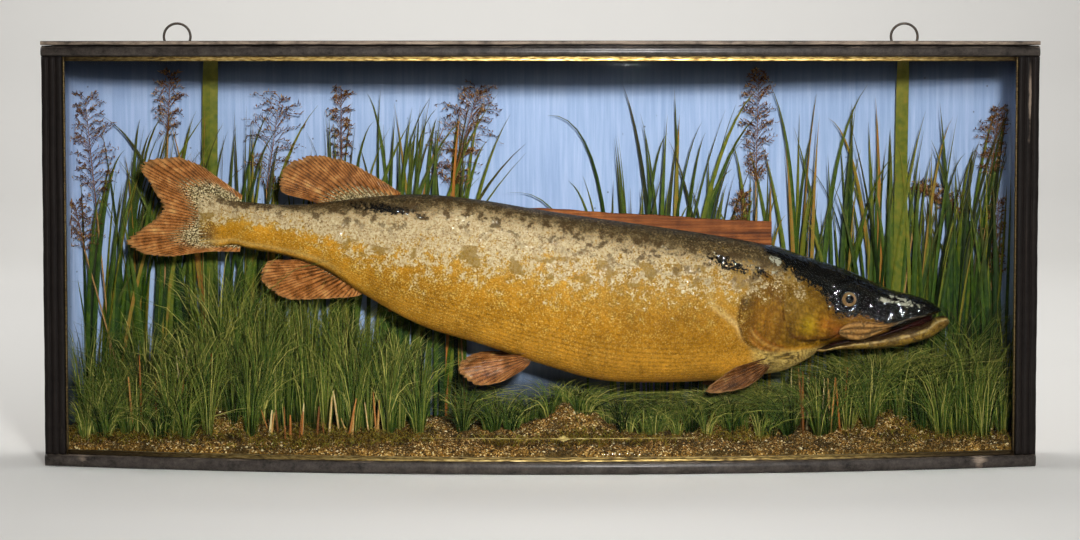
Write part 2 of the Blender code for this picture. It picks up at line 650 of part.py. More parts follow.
def ground_z(x, y, depth_share):
    """Height of the groundwork: a rise to the back, ripples and moss hummocks."""
    level = GROUND_FRONT_Z + (GROUND_BACK_Z - GROUND_FRONT_Z) * depth_share
    ripple = RIPPLE * np.sin(19.0 * x + 1.3) * np.sin(40.0 * y + 0.8)
    swell = sum(height * np.exp(-2.0 * ((x - a) ** 2 + HUMMOCK_STRETCH * (y - b) ** 2) / radius ** 2)
                for a, b, radius, height in HUMMOCKS)
    return level + ripple + swell


def build_groundwork():
    """Undulating ground of plaster and sand that fills the foot of the case."""
    sand = finish("groundwork", (0.36, 0.26, 0.13), 0.9)
    reach = SIDE_INNER_X - GAP
    xs = np.linspace(-reach, reach, GROUND_COLUMNS + 1)
    front = bow_y(xs) + INSIDE_DEPTH
    vertices = []
    for row in range(GROUND_ROWS + 1):
        share = row / GROUND_ROWS
        ys = front * (1.0 - share) + (BACK_INNER_Y - GAP) * share
        vertices += list(zip(xs, ys, ground_z(xs, ys, share)))
    width = GROUND_COLUMNS + 1
    top = len(vertices)
    border = list(range(GROUND_COLUMNS))
    border += [i * width + GROUND_COLUMNS for i in range(GROUND_ROWS)]
    border += [GROUND_ROWS * width + j for j in range(GROUND_COLUMNS, 0, -1)]
    border += [i * width for i in range(GROUND_ROWS, 0, -1)]
    vertices += [(vertices[i][0], vertices[i][1], GROUND_FOOT_Z) for i in border]
    faces = []
    for i in range(GROUND_ROWS):
        for j in range(GROUND_COLUMNS):
            a = i * width + j
            faces.append((a, a + 1, a + width + 1, a + width))
    for n, a in enumerate(border):
        m = (n + 1) % len(border)
        faces.append((a, top + n, top + m, border[m]))
    faces.append(tuple(range(top, top + len(border))))
    return solid("groundwork", vertices, faces, sand, crease=80.0)


def build_fans(ground):
    """Fans of reed or grass, each cut as one sheet and rooted in the ground."""
    green = finish("dried_reed", (0.16, 0.17, 0.06), 0.8)
    straw = finish("dried_grass", (0.34, 0.30, 0.12), 0.85)
    for name, (first, last, y, tallest, blades, lean) in FANS.items():
        pitch = (last - first) / blades
        tall = tallest > GRASS_HEIGHT
        comb_z = REED_COMB_Z if tall else GRASS_COMB_Z
        half_width = min(BLADE_SHARE * pitch, BLADE_WIDTH) / 2
        outline = [(last, FAN_ROOT_Z), (first, FAN_ROOT_Z)]
        for i in range(blades):
            middle = first + (i + 0.5) * pitch
            share = SHORTEST_BLADE + (1.0 - SHORTEST_BLADE) * abs(math.sin(2.1 * i + 4.0 * first))
            height = comb_z + (tallest - comb_z) * share
            bend = lean * math.sin(1.7 * i + 1.0) * share
            waist_x = middle + WAIST_LEAN * bend
            waist_z = 0.5 * (comb_z + height)
            outline += [(middle - half_width, comb_z),
                        (waist_x - WAIST_SHARE * half_width, waist_z),
                        (middle + bend, height),
                        (waist_x + WAIST_SHARE * half_width, waist_z),
                        (middle + half_width, comb_z)]
        half = FAN_THICKNESS / 2
        vertices = [(x, side, z) for side in (y - half, y + half) for x, z in outline]
        material = green if tall else straw
        solid(name, vertices, tube_faces(2, len(outline)), material)
        slot = box(f"slot_{name}", (first - GAP, y - half - GAP, FAN_ROOT_Z - GAP),
                   (last + GAP, y + half + GAP, SLOT_TOP_Z), straw)
        cut(ground, slot)


clear_scene()
build_case()
build_front()
build_rings()
build_support()
pike = build_body()
build_gill_covers(pike)
build_eyes(pike)
build_fins()
build_fans(build_groundwork())
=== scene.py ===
"""A mounted pike in its bow-front case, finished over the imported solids.

Lengths are in metres, in the solids' own frame: +X runs to the fish's head,
-Y out of the bowed glass, +Z up, with the foot of the case on the floor.
"""
import functools
import math

import bpy
import numpy as np
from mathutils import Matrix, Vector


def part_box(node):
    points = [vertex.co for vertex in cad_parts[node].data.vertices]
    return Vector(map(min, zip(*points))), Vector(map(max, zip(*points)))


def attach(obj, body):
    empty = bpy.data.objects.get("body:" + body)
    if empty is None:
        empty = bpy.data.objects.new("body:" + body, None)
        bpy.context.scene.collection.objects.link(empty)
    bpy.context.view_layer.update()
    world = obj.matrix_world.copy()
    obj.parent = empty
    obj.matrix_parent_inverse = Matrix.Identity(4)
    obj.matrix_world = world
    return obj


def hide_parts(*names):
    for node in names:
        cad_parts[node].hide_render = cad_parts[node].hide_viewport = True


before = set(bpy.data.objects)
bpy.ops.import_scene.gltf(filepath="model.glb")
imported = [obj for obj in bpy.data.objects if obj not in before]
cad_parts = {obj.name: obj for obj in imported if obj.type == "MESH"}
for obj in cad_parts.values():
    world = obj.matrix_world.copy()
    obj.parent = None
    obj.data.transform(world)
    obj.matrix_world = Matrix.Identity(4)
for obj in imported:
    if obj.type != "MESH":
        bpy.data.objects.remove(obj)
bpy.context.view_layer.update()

# -------------------------------------------------------- where it is seen from
# The case stands on a pale floor and is seen from straight in front, nearly
# four metres off and a little above its lid, as in a gallery.

view = bpy.data.cameras.new("view")
view.lens = 102.13
view.sensor_width = 36.0
viewer = bpy.data.objects.new("view", view)
viewer.location = (0.017, -3.9365, 0.518)
viewer.rotation_euler = (math.radians(86.1), 0.0, math.radians(0.25))
bpy.context.collection.objects.link(viewer)
bpy.context.scene.camera = viewer
bpy.context.scene.view_settings.view_transform = "Standard"

# A low, narrow lamp in front throws the band of shade under the lid. One high in
# front only puts glints on the varnish, and the others, over and behind the case,
# light the room and the outside of the box.
for name, place, target, size, power, spread in (   # power in watts, spread in degrees
        ("front_lamp", (0.6, -4.3, 1.26), (0.0, 0.0, 0.26), (0.36, 0.36), 12.8, 42.0),
        ("glint_lamp", (0.4, -1.9, 2.35), (0.1, 0.0, 0.28), (0.24, 0.24), 5.0, 42.0),
        ("ceiling_light", (0.0, 0.75, 2.7), (0.0, 0.75, 0.0), (2.6, 1.6), 46.0, 180.0),
        ("left_back_light", (-3.6, 1.6, 2.2), (0.0, 0.1, 0.2), (1.2, 1.2), 44.0, 180.0),
        ("right_back_light", (3.6, 1.6, 2.2), (0.0, 0.1, 0.2), (1.2, 1.2), 44.0, 180.0),
        ("wall_light", (0.0, 3.2, 3.6), (0.0, 6.0, 0.8), (4.0, 1.0), 112.0, 180.0)):
    lamp = bpy.data.lights.new(name, "AREA")
    lamp.shape = "RECTANGLE"
    lamp.size, lamp.size_y = size
    lamp.energy = power
    lamp.spread = math.radians(spread)
    stand = bpy.data.objects.new(name, lamp)
    stand.location = place
    stand.visible_diffuse = name != "glint_lamp"
    aim = np.subtract(target, place)
    stand.rotation_euler = (math.atan2(math.hypot(aim[0], aim[1]), -aim[2]), 0.0,
        math.atan2(-aim[0], aim[1]))
    bpy.context.collection.objects.link(stand)

room = bpy.data.worlds.new("studio")
room.use_nodes = True
room.node_tree.nodes["Background"].inputs["Color"].default_value = (1.0, 0.97, 0.93, 1.0)
room.node_tree.nodes["Background"].inputs["Strength"].default_value = 0.055
bpy.context.scene.world = room

# ---------------------------------------------------------------- floor and wall
# A plain sweep of pale, matt paper: a floor that turns up into a wall well behind
# the case, so that nothing but the piece itself is seen.


def colour(hexadecimal):
    """An sRGB hex colour as linear red, green, blue and one."""
    value = np.array([int(hexadecimal[i:i + 2], 16) for i in (1, 3, 5)]) / 255.0
    value = np.where(value <= 0.04045, value / 12.92, ((value + 0.055) / 1.055) ** 2.4)
    return (*value.tolist(), 1.0)


def add_node(tree, kind, *inputs, stops=(), **named):
    """A shader node of that kind, or one that is there. Its sockets are fed in order
    or by names with a capital letter, each with a value, a hex colour, or the node
    or socket before it; the other names are the node's settings."""
    node = tree.nodes.new("ShaderNode" + kind) if isinstance(kind, str) else kind
    for key, value in named.items():
        if key[0].islower():
            setattr(node, key, value)
    while stops and len(node.color_ramp.elements) < len(stops):
        node.color_ramp.elements.new(0.5)
    for element, (place, shade) in zip(node.color_ramp.elements if stops else (), stops):
        element.position = place
        element.color = colour(shade)
    named = {key.replace("_", " "): value for key, value in named.items() if key[0].isupper()}
    for key, value in (dict(enumerate(inputs)) | named).items():
        if isinstance(value, bpy.types.Node):
            value = value.outputs[0]
        if isinstance(value, bpy.types.NodeSocket):
            tree.links.new(value, node.inputs[key])
        else:
            node.inputs[key].default_value = colour(value) if isinstance(value, str) else value
    return node


def new_finish(name, **sockets):
    """A material, what adds nodes to it, and its Principled shader, which is dull
    unless told otherwise; sockets are set on the shader."""
    material = bpy.data.materials.new(name)
    material.use_nodes = True
    add = functools.partial(add_node, material.node_tree)
    return material, add, add(material.node_tree.nodes["Principled BSDF"],
        **{"Specular_IOR_Level": 0.12, **sockets})


def joined(*axes):
    """Coordinates, spread out to one shape, joined into points."""
    return np.stack(np.broadcast_arrays(*axes), -1)


sweep_line = np.array([(-9.0, 0.0), (4.2, 0.0), (5.2, 0.12), (5.8, 0.5), (6.0, 1.1), (6.0, 7.0)])
sweep_side = np.array([-9.0, 9.0])
sweep_points = joined(sweep_side[None, :], sweep_line[:, :1], sweep_line[:, 1:])
sweep_index = np.arange(12).reshape(6, 2)
sweep_faces = joined(sweep_index[:-1, 0], sweep_index[:-1, 1], sweep_index[1:, 1], sweep_index[1:, 0])
paper, add, shader = new_finish("matt_paper_sweep", Roughness=0.9)
add(shader, Base_Color=add("ValToRGB", add("TexNoise", Scale=3.0),
    stops=((0.3, "#d6d4cf"), (0.7, "#dedcd8"))))
sweep_mesh = bpy.data.meshes.new("floor")
sweep_mesh.from_pydata(sweep_points.reshape(-1, 3).tolist(), [], sweep_faces.tolist())
sweep_mesh.materials.append(paper)
sweep_mesh.shade_smooth()
floor = bpy.data.objects.new("floor", sweep_mesh)
bpy.context.collection.objects.link(floor)

# ------------------------------------------------------- lid, rails and stiles
# The case is pine, stained black and spirit varnished, and its front is planed
# to one bow. The lid is a thin board with a rubbed arris; the rails and the
# reeded stiles are glued on in front of the carcass.


def make_piece(name, points, faces, material, slot, replaced=(), smooth=True, kinds=None, fields=None,
        maps=None):
    """Puts points and arrays of faces, each array with its own number of corners,
    into a mesh. kinds gives the material of each face, fields one number or colour
    per point, and maps one pair of numbers per point."""
    points = np.asarray(points, np.float32).reshape(-1, 3)
    sizes = np.concatenate([np.full(len(array), array.shape[1]) for array in faces])
    corners = np.concatenate([array.ravel() for array in faces]).astype(np.int32)
    mesh = bpy.data.meshes.new(name)
    mesh.vertices.add(len(points))
    mesh.vertices.foreach_set("co", points.ravel())
    mesh.loops.add(len(corners))
    mesh.loops.foreach_set("vertex_index", corners)
    mesh.polygons.add(len(sizes))
    mesh.polygons.foreach_set("loop_start", np.concatenate(([0], np.cumsum(sizes)[:-1])).astype(np.int32))
    mesh.update(calc_edges=True)
    mesh.validate()
    mesh.polygons.foreach_set("use_smooth", np.broadcast_to(smooth, len(sizes)).astype(bool))
    for finish in material if isinstance(material, (list, tuple)) else [material]:
        mesh.materials.append(finish)
    if kinds is not None:
        mesh.polygons.foreach_set("material_index", np.asarray(kinds, np.int32))
    for key, values in (fields or {}).items():
        values = np.ascontiguousarray(values, np.float32)
        if values.size == len(points):
            mesh.attributes.new(key, "FLOAT", "POINT").data.foreach_set("value", values.ravel())
        else:
            mesh.attributes.new(key, "FLOAT_COLOR", "POINT").data.foreach_set("color", values.ravel())
    for key, values in (maps or {}).items():
        pairs = np.asarray(values, np.float32).reshape(-1, 2)[corners]
        mesh.uv_layers.new(name=key).data.foreach_set("uv", pairs.ravel())
    piece = bpy.data.objects.new(name, mesh)
    bpy.context.collection.objects.link(piece)
    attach(piece, "root")
    if replaced:
        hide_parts(*replaced)
    return piece


def outward(points, faces):
    """Turns all faces round if the volume they enclose, summed over the triangles
    of each, comes out negative."""
    points = points.reshape(-1, 3)
    volume = 0.0
    for array in faces:
        fan = points[array] - points.mean(0)
        volume += (fan[:, :1] * np.cross(fan[:, 1:-1], fan[:, 2:])).sum()
    return points, faces if volume > 0 else [array[:, ::-1] for array in faces]


def tube(rings, looped=False):
    """A closed skin through rings of equal length: ring after ring along the first
    axis, point after point round the second, with flat ends or joined in a loop."""
    count, around = rings.shape[:2]
    index = np.arange(count * around).reshape(count, around)
    if looped:
        index = np.concatenate((index, index[:1]))
    turned = np.roll(index, -1, axis=1)
    faces = [joined(index[:-1], turned[:-1], turned[1:], index[1:]).reshape(-1, 4)]
    return outward(rings, faces if looped else faces + [index[:1, ::-1], index[-1:]])


HALF_FRONT = 0.635            # half the width of the case, over its frame


def bow(x):
    """Front of the case in plan: the depth at the corners, less the bow times
    one minus the square of the share of the half width."""
    return -0.0365 - 0.085 * (1.0 - (x / HALF_FRONT) ** 2)


def wander(x, *waves):
    """Unevenness of hand work: a sum of sines, each a height, a length and a start."""
    return sum(height * np.sin(2.0 * np.pi * x / length + start) for height, length, start in waves)


def along_bow(xs, front, rear=()):
    """Rings of a strip along the bow. A front point is its depth behind the bow
    and its height, and may change with x; a rear point is a plain y and height."""
    front = np.broadcast_to(np.asarray(front, float), (len(xs),) + np.shape(front)[-2:])
    y = bow(xs)[:, None] + front[..., 0]
    z = front[..., 1]
    if len(rear):
        rear = np.broadcast_to(np.asarray(rear, float), (len(xs), len(rear), 2))
        y = np.concatenate((y, rear[..., 0]), axis=1)
        z = np.concatenate((z, rear[..., 1]), axis=1)
    return joined(xs[:, None], y, z)


def arc(centre, radius, start, end, count):
    """Points of an arc between two angles in degrees, as pairs."""
    turn = np.radians(np.linspace(start, end, count))
    return joined(centre[0] + radius[0] * np.cos(turn), centre[1] + radius[1] * np.sin(turn))


def ebonised_pine(name, grain, roughness=0.42, dust_share=0.48, gloss_share=0.22):
    """Pine under black stain and thin spirit varnish: brown-black with grain about
    1 mm wide along one axis, greyed by dust, and rubbed to bare brown on its
    arrises, where the piece's own wear is high. Grain is the axis as 0, 1 or 2."""
    material, add, shader = new_finish(name, IOR=1.5, Specular_IOR_Level=0.09, Coat_Weight=gloss_share,
        Coat_Roughness=0.25)
    place = add("TexCoord").outputs["Object"]
    stretch = [420.0, 420.0, 420.0]
    stretch[grain] = 9.0
    lined = add("Mapping", place, Scale=stretch)
    fibre = add("TexNoise", lined, Scale=1.0, Detail=4.0, Roughness=0.65)
    cloud = add("TexNoise", place, Scale=34.0, Detail=5.0, Roughness=0.6)
    stain = add("ValToRGB", fibre, stops=((0.25, "#0b0807"), (0.55, "#15100e"), (0.8, "#241b16")))
    film = add("TexNoise", place, Scale=70.0, Detail=9.0, Roughness=0.85)
    dust = add("MapRange", film, 0.36, 0.74, To_Max=dust_share)
    dusted = add("MixRGB", dust, stain, "#7a7067")
    wear = add("Attribute", attribute_name="wear").outputs["Fac"]
    rubbed = add("Math", wear, cloud, operation="MULTIPLY")
    bare = add("MapRange", rubbed, 0.26, 0.5)
    wood = add("ValToRGB", fibre, stops=((0.2, "#54463b"), (0.8, "#a79684")))
    final = add("MixRGB", bare, dusted, wood)
    gloss = add("MapRange", cloud, 0.3, 0.8, roughness, roughness + 0.25)
    relief = add("Bump", Height=fibre, Strength=0.35, Distance=0.0004)
    add(shader, Base_Color=final, Roughness=gloss, Normal=relief)
    return material


ebonised_along = ebonised_pine("ebonised_pine_long_grain", 0)
ebonised_upright = ebonised_pine("ebonised_pine_upright_grain", 2, 0.6, 0.04, 0.03)

lid_low, lid_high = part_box("lid")
foot_z, top_z, rear_y = lid_low.z, lid_high.z, lid_high.y
reach = lid_high.x
xs = np.linspace(-reach, reach, 301)
chips = sum(deep * np.exp(-((xs - at) / wide) ** 2) for at, wide, deep in ((-0.52, 0.006, 0.0012),
    (-0.132, 0.01, 0.0014), (0.068, 0.004, 0.0008), (0.238, 0.007, 0.0009), (0.412, 0.005, 0.0011),
    (0.571, 0.009, 0.0013)))
sag = wander(xs, (0.0003, 0.41, 0.4), (0.00022, 0.093, 1.9), (0.0001, 0.031, 0.7))
edge = np.stack([joined(0.0004 + chips, foot_z + 0.0005 + 0.5 * sag),
    joined(-0.0008 + chips, foot_z + 0.0014 + 0.5 * sag), joined(-0.001 + chips, top_z - 0.0017 + sag),
    joined(-0.0001 + chips, top_z - 0.0005 + sag * 0.6), joined(0.0016 + chips, top_z)], axis=1)
lid_rings = along_bow(xs, edge, ((rear_y, top_z), (rear_y, foot_z)))
lid_wear = np.broadcast_to(np.array([0.55, 1.0, 1.0, 0.85, 0.1, 0.1, 0.1]), lid_rings.shape[:2])
make_piece("case_lid", *tube(lid_rings), ebonised_along, "ebonised_wood", ("lid",), smooth=False,
    fields={"wear": lid_wear})

for name, node, nose in (("frame_top_rail", "frame_rail_top", 0.4),
        ("frame_foot_rail", "frame_rail_foot", 0.62)):
    low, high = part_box(node)
    middle = low.z + nose * (high.z - low.z)
    profile = np.concatenate((((0.01, low.z), (0.01, high.z), (0.0046, high.z)),
        arc((0.0034, middle), (0.0034, high.z - 0.0012 - middle), 90, 180, 6),
        arc((0.0034, middle), (0.0034, middle - low.z - 0.0008), 185, 270, 6), ((0.0046, low.z),)))
    hand = wander(xs, (0.00022, 0.29, 0.9), (0.00014, 0.071, 0.2))[:, None]
    front = np.broadcast_to(profile, (len(xs),) + profile.shape).copy()
    front[:, 3:-1, 0] += np.abs(hand) * 0.8
    rub = np.zeros((len(xs), len(profile)))
    rub[:, 2:5] = 0.62
    rub[:, 6:10] = 0.4
    if nose > 0.5:
        rub += (0.9 * (np.exp(-((xs - 0.559) / 0.008) ** 2) + 0.8
            * np.exp(-((xs + 0.585) / 0.006) ** 2))[:, None])
    make_piece(name, *tube(along_bow(xs, front)), ebonised_along, "ebonised_wood", (node,),
        fields={"wear": rub})

for side, sign in (("left", -1.0), ("right", 1.0)):
    low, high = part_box(f"frame_stile_{side}")
    inner = 0.607
    reed = (HALF_FRONT - inner) / 3.0
    plan = [np.array(((HALF_FRONT, 0.01), (inner, 0.01)))]
    for i in range(3):
        plan.append(arc((inner + (i + 0.5) * reed, 0.0036), (-0.47 * reed, -0.0034), 8, 172, 7))
    plan = np.concatenate(plan)
    heights = np.linspace(low.z, high.z, 90)
    tool = wander(heights, (0.00018, 0.17, 0.3 * sign), (0.00012, 0.043, 1.1))
    x = plan[:, 0] + tool[:, None] * (np.abs(plan[:, 0] - 0.621) < 0.0138)
    y = bow(x) + plan[:, 1]
    # The front of each reed is rubbed paler: wear, and also a painted highlight line along the crests.
    crest_wear_and_highlight = np.exp(-((plan[:, 1] - 0.0002) / 0.0011) ** 2)
    rub = np.broadcast_to(0.4 * crest_wear_and_highlight, (len(heights), len(plan))).copy()
    if sign > 0:
        scrape = (np.exp(-((heights - 0.468) / 0.028) ** 2)[:, None]
            * np.exp(-((plan[:, 0] - 0.6225) / 0.0022) ** 2))
        rub += 1.3 * scrape
    make_piece(f"frame_{side}_stile", *tube(joined(sign * x, y, heights[:, None])), ebonised_upright,
        "ebonised_wood", (f"frame_stile_{side}",), fields={"wear": rub})

# ------------------------------------------------- carcass boards of the case
# Behind the frame the box is plain: sides stained like the frame, and a deal
# back and bottom left from the saw and browned with age.


def aged_deal(name):
    """Unfinished deal, browned by age: pale and dark growth lines 3 to 5 mm apart
    along the board, dry and rough, with grey bloom."""
    material, add, shader = new_finish(name, Roughness=0.82, IOR=1.45)
    place = add("TexCoord").outputs["Object"]
    long = add("Mapping", place, Scale=(1.4, 30.0, 30.0))
    bend = add("TexNoise", long, Scale=1.3, Detail=3.0)
    lines = add("Mapping", place, Scale=(2.0, 240.0, 240.0))
    growth = add("TexNoise", lines, Scale=1.0, Detail=3.0, Distortion=0.4)
    wood = add("ValToRGB", growth, stops=((0.3, "#5d4126"), (0.52, "#8d6a42"), (0.72, "#a8875a")))
    bloom = add("MapRange", bend, 0.45, 0.75, To_Max=0.45)
    final = add("MixRGB", bloom, wood, "#6f6252")
    relief = add("Bump", Height=growth, Strength=0.4, Distance=0.0005)
    add(shader, Base_Color=final, Normal=relief)
    return material


deal = aged_deal("aged_deal_boards")
for node, finish in (("case_back", deal), ("case_bottom", deal), ("batten_1", deal), ("batten_2", deal),
        ("case_top", ebonised_along), ("case_side_left", ebonised_along),
        ("case_side_right", ebonised_along)):
    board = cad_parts[node].data
    board.materials.clear()
    board.materials.append(finish)

# --------------------------------------------------------------- gilt sight slips
# A slim slip of wood, gilded with oil gold over a red ground, runs round the
# glass. Its leaf is darkened toward the corners, so the upright ones look black,
# and dimmed along the foot.


def oil_gilding():
    """Oil gold leaf, brushed and worn: warm metal with thin dark breaks about
    2 mm long where the ground shows, darkened toward the ends of the case and
    dimmed low down."""
    material, add, shader = new_finish("oil_gilding", Metallic=0.85, Specular_IOR_Level=0.5)
    place = add("TexCoord").outputs["Object"]
    patch = add("Mapping", place, Scale=(95.0, 260.0, 620.0))
    worn = add("TexNoise", patch, Scale=1.0, Detail=4.0, Roughness=0.6)
    leaf = add("ValToRGB", worn, stops=((0.3, "#2b1e10"), (0.42, "#7d6432"), (0.54, "#c2a35c"),
        (0.7, "#e6cf92")))
    across = add("SeparateXYZ", place).outputs["X"]
    far_out = add("Math", across, operation="ABSOLUTE")
    low = add("SeparateXYZ", place).outputs["Z"]
    # The leaf is darkened toward both ends of the case and dimmed low down, on the foot slip.
    foot = add("MapRange", low, From_Max=0.1, To_Min=0.055, To_Max=0.0)
    outer = add("Math", far_out, foot)
    darkened_toward_ends = add("MapRange", outer, 0.37, 0.6, To_Max=0.86, interpolation_type="SMOOTHSTEP")
    thin = add("MapRange", low, From_Max=0.1, To_Min=0.2, To_Max=0.88)
    faded = add("VectorMath", leaf, Scale=thin, operation="SCALE")
    final = add("MixRGB", darkened_toward_ends, faded, "#241a10")
    dull = add("MapRange", worn, 0.3, 0.7, 0.62, 0.3)
    relief = add("Bump", Height=worn, Strength=0.4, Distance=0.0004)
    add(shader, Base_Color=final, Roughness=dull, Normal=relief)
    return material


gilding = oil_gilding()
for node in ("gilt_slip_top", "gilt_slip_foot"):
    low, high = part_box(node)
    height = high.z - low.z
    hollow = np.array(((0.01, low.z), (0.01, high.z), (0.0046, high.z), (0.0042, high.z - 0.2 * height),
        (0.0052, high.z - 0.38 * height), (0.0052, low.z + 0.38 * height), (0.0042, low.z + 0.2 * height),
        (0.0046, low.z)))
    span = np.linspace(low.x, high.x, 241)
    front = np.broadcast_to(hollow, (len(span),) + hollow.shape).copy()
    front[:, 2:, 0] += 0.5 * np.abs(wander(span, (0.0003, 0.083, 0.4), (0.0002, 0.029, 2.0)))[:, None]
    make_piece(f"{node}_leaf", *tube(along_bow(span, front)), gilding, "gilt", (node,))
for side, sign in (("left", -1.0), ("right", 1.0)):
    node = f"gilt_slip_{side}"
    low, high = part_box(node)
    heights = np.linspace(low.z, high.z, 60)
    plan = np.array(((low.x, 0.01), (low.x, 0.0046), (low.x + 0.0006, 0.0041), (high.x - 0.0006, 0.0041),
        (high.x, 0.0046), (high.x, 0.01)))
    y = bow(np.full(len(plan), 0.5 * (low.x + high.x))) + plan[:, 1]
    slip_rings = joined(plan[:, 0], y, heights[:, None])
    make_piece(f"{node}_leaf", *tube(slip_rings), gilding, "gilt", (node,))

# ------------------------------------------------------------------ bowed glass
# One pane of sheet glass, bent to the bow and puttied in behind the slips. It
# has the slow ripple of drawn glass. Its old lettering is left off; a plain
# gilt hairline with lozenges fills that place.


def slab(face, back):
    """A thin closed slab between two grids of points: both grids, and a wall of
    four-cornered faces round their border."""
    rows, columns = face.shape[:2]
    index = np.arange(rows * columns).reshape(rows, columns)
    grid = joined(index[:-1, :-1], index[:-1, 1:], index[1:, 1:], index[1:, :-1]).reshape(-1, 4)
    rim = np.concatenate((index[0, :-1], index[:-1, -1], index[-1, :0:-1], index[:0:-1, 0]))
    after = np.roll(rim, -1)
    wall = joined(after, rim, rim + index.size, after + index.size)
    points = np.concatenate((face.reshape(-1, 3), back.reshape(-1, 3)))
    return outward(points, [grid, grid[:, ::-1] + index.size, wall])


def gather(parts):
    """Joins several (points, faces) into one, with the faces renumbered."""
    starts = np.cumsum([0] + [len(points) for points, _ in parts])
    points = np.concatenate([points for points, _ in parts])
    return points, [array + start for start, (_, faces) in zip(starts, parts) for array in faces]


def bent_glass():
    """Clear sheet glass: what is behind shows through with a faint green tint, and
    its faces mirror the dim room less than new glass would."""
    material, add, shader = new_finish("bent_sheet_glass")
    tree = material.node_tree
    tree.nodes.remove(shader)
    clear = add("BsdfTransparent", Color=(0.965, 0.985, 0.975, 1.0))
    mirror = add("BsdfAnisotropic", Color=(1.0, 1.0, 1.0, 1.0), Roughness=0.02)
    add(tree.nodes["Material Output"], Surface=add("MixShader", add("Fresnel", IOR=1.1), clear, mirror))
    return material


low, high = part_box("glass_front")
across = np.linspace(low.x, high.x, 181)
up = np.linspace(low.z, high.z, 37)
wave = (wander(across, (0.00006, 0.19, 0.5), (0.00004, 0.083, 1.3))[:, None]
    * (1.0 + 0.4 * np.sin(9.0 * up))[None, :])
outer, inner = (joined(across[:, None], bow(across)[:, None] + depth + wave, up)
    for depth in (0.0103, 0.0133))
make_piece("bowed_pane", *slab(outer, inner), bent_glass(), "pane", ("glass_front",))

line = np.linspace(-0.155, 0.215, 121)
swell = 0.00032 + 0.00025 * np.exp(-((line - 0.03) / 0.09) ** 2)
rule = np.stack([joined(np.full_like(line, depth), 0.0445 + side * swell)
    for depth, side in ((0.01345, -1), (0.01345, 1), (0.01375, 1), (0.01375, -1))], 1)
parts = [tube(along_bow(line, rule))]
for at, half, tall in ((0.03, 0.0085, 0.0042), (-0.052, 0.004, 0.002), (0.112, 0.004, 0.002)):
    lozenge = at + half * np.array((-1.0, -0.5, 0.0, 0.5, 1.0))
    thick = np.maximum(tall * (1.0 - np.abs(lozenge - at) / half), 0.0001)
    shape = np.stack([joined(np.full_like(lozenge, depth), 0.0445 + side * thick)
        for depth, side in ((0.0134, -1), (0.0134, 1), (0.0138, 1), (0.0138, -1))], 1)
    parts.append(tube(along_bow(lozenge, shape)))
make_piece("gilt_hairline", *gather(parts), gilding, "gilt", smooth=False)

# --------------------------------------------------------------- hanging rings
# Two rings of black iron wire, 3.4 mm thick, with the end of each wound round
# its shank and the shank stapled to the back.


def forged_wire():
    """Black iron wire, oxidised: dark brown-grey metal with rust freckles of 1 mm."""
    material, add, shader = new_finish("oxidised_iron_wire", Metallic=0.75, Specular_IOR_Level=0.5)
    place = add("TexCoord").outputs["Object"]
    rust = add("TexNoise", place, Scale=900.0, Detail=3.0)
    skin = add("ValToRGB", rust, stops=((0.35, "#2a2521"), (0.55, "#4b443d"), (0.75, "#70513a")))
    dull = add("MapRange", rust, To_Min=0.35, To_Max=0.75)
    relief = add("Bump", Height=rust, Strength=0.5, Distance=0.0003)
    add(shader, Base_Color=skin, Roughness=dull, Normal=relief)
    return material


def full_turn(count):
    """Angles of so many even steps round a circle."""
    return 2.0 * np.pi * np.arange(count) / count


def wire(path, radius, sides=10, closed=False):
    """Rings of a round wire along a path: at each point a circle of the radius in
    the plane square to the path, turned against a fixed sideways direction."""
    path = np.asarray(path, float)
    along = (np.roll(path, -1, 0) - np.roll(path, 1, 0)) if closed else np.gradient(path, axis=0)
    along /= np.linalg.norm(along, axis=1, keepdims=True)
    sideways = np.cross(along, (0.13, 0.97, 0.2))
    sideways /= np.linalg.norm(sideways, axis=1, keepdims=True)
    third = np.cross(along, sideways)
    turn = full_turn(sides)
    circle = (sideways[:, None, :] * np.cos(turn)[None, :, None]
        + third[:, None, :] * np.sin(turn)[None, :, None])
    return path[:, None, :] + circle * np.reshape(radius, (-1, 1, 1))


iron = forged_wire()
ring_radius = 0.0172
for side, sign in (("left", -1.0), ("right", 1.0)):
    low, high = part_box(f"hanging_ring_{side}")
    middle = (0.5 * (low.x + high.x), 0.5 * (low.y + high.y), high.z - 0.01915)
    turn = np.linspace(-0.5 * np.pi, 1.5 * np.pi, 97)[:-1]
    hoop = joined(middle[0] + ring_radius * np.cos(turn) * 1.02, middle[1],
        middle[2] + ring_radius * np.sin(turn))
    loop = tube(wire(hoop, 0.0017, closed=True), looped=True)
    wound = np.linspace(0.0, 1.0, 90)
    coil = joined(middle[0] + 0.0024 * np.cos(8.0 * np.pi * wound),
        middle[1] + 0.0014 * np.sin(8.0 * np.pi * wound), middle[2] - ring_radius - 0.001 - 0.01 * wound)
    shank = joined(middle[0], middle[1], np.linspace(middle[2] - 0.0165, low.z + 0.0008, 14))
    make_piece(f"ring_{side}", *gather([loop, tube(wire(coil, 0.0008, 8)), tube(wire(shank, 0.0014, 8))]),
        iron, "iron_wire", (f"hanging_ring_{side}",))

# --------------------------------------------------------------- painted lining
# Paper, sized and painted in light blue distemper with a wide brush, lines the
# back, the ends and the ceiling, and is coved round the upright corners.


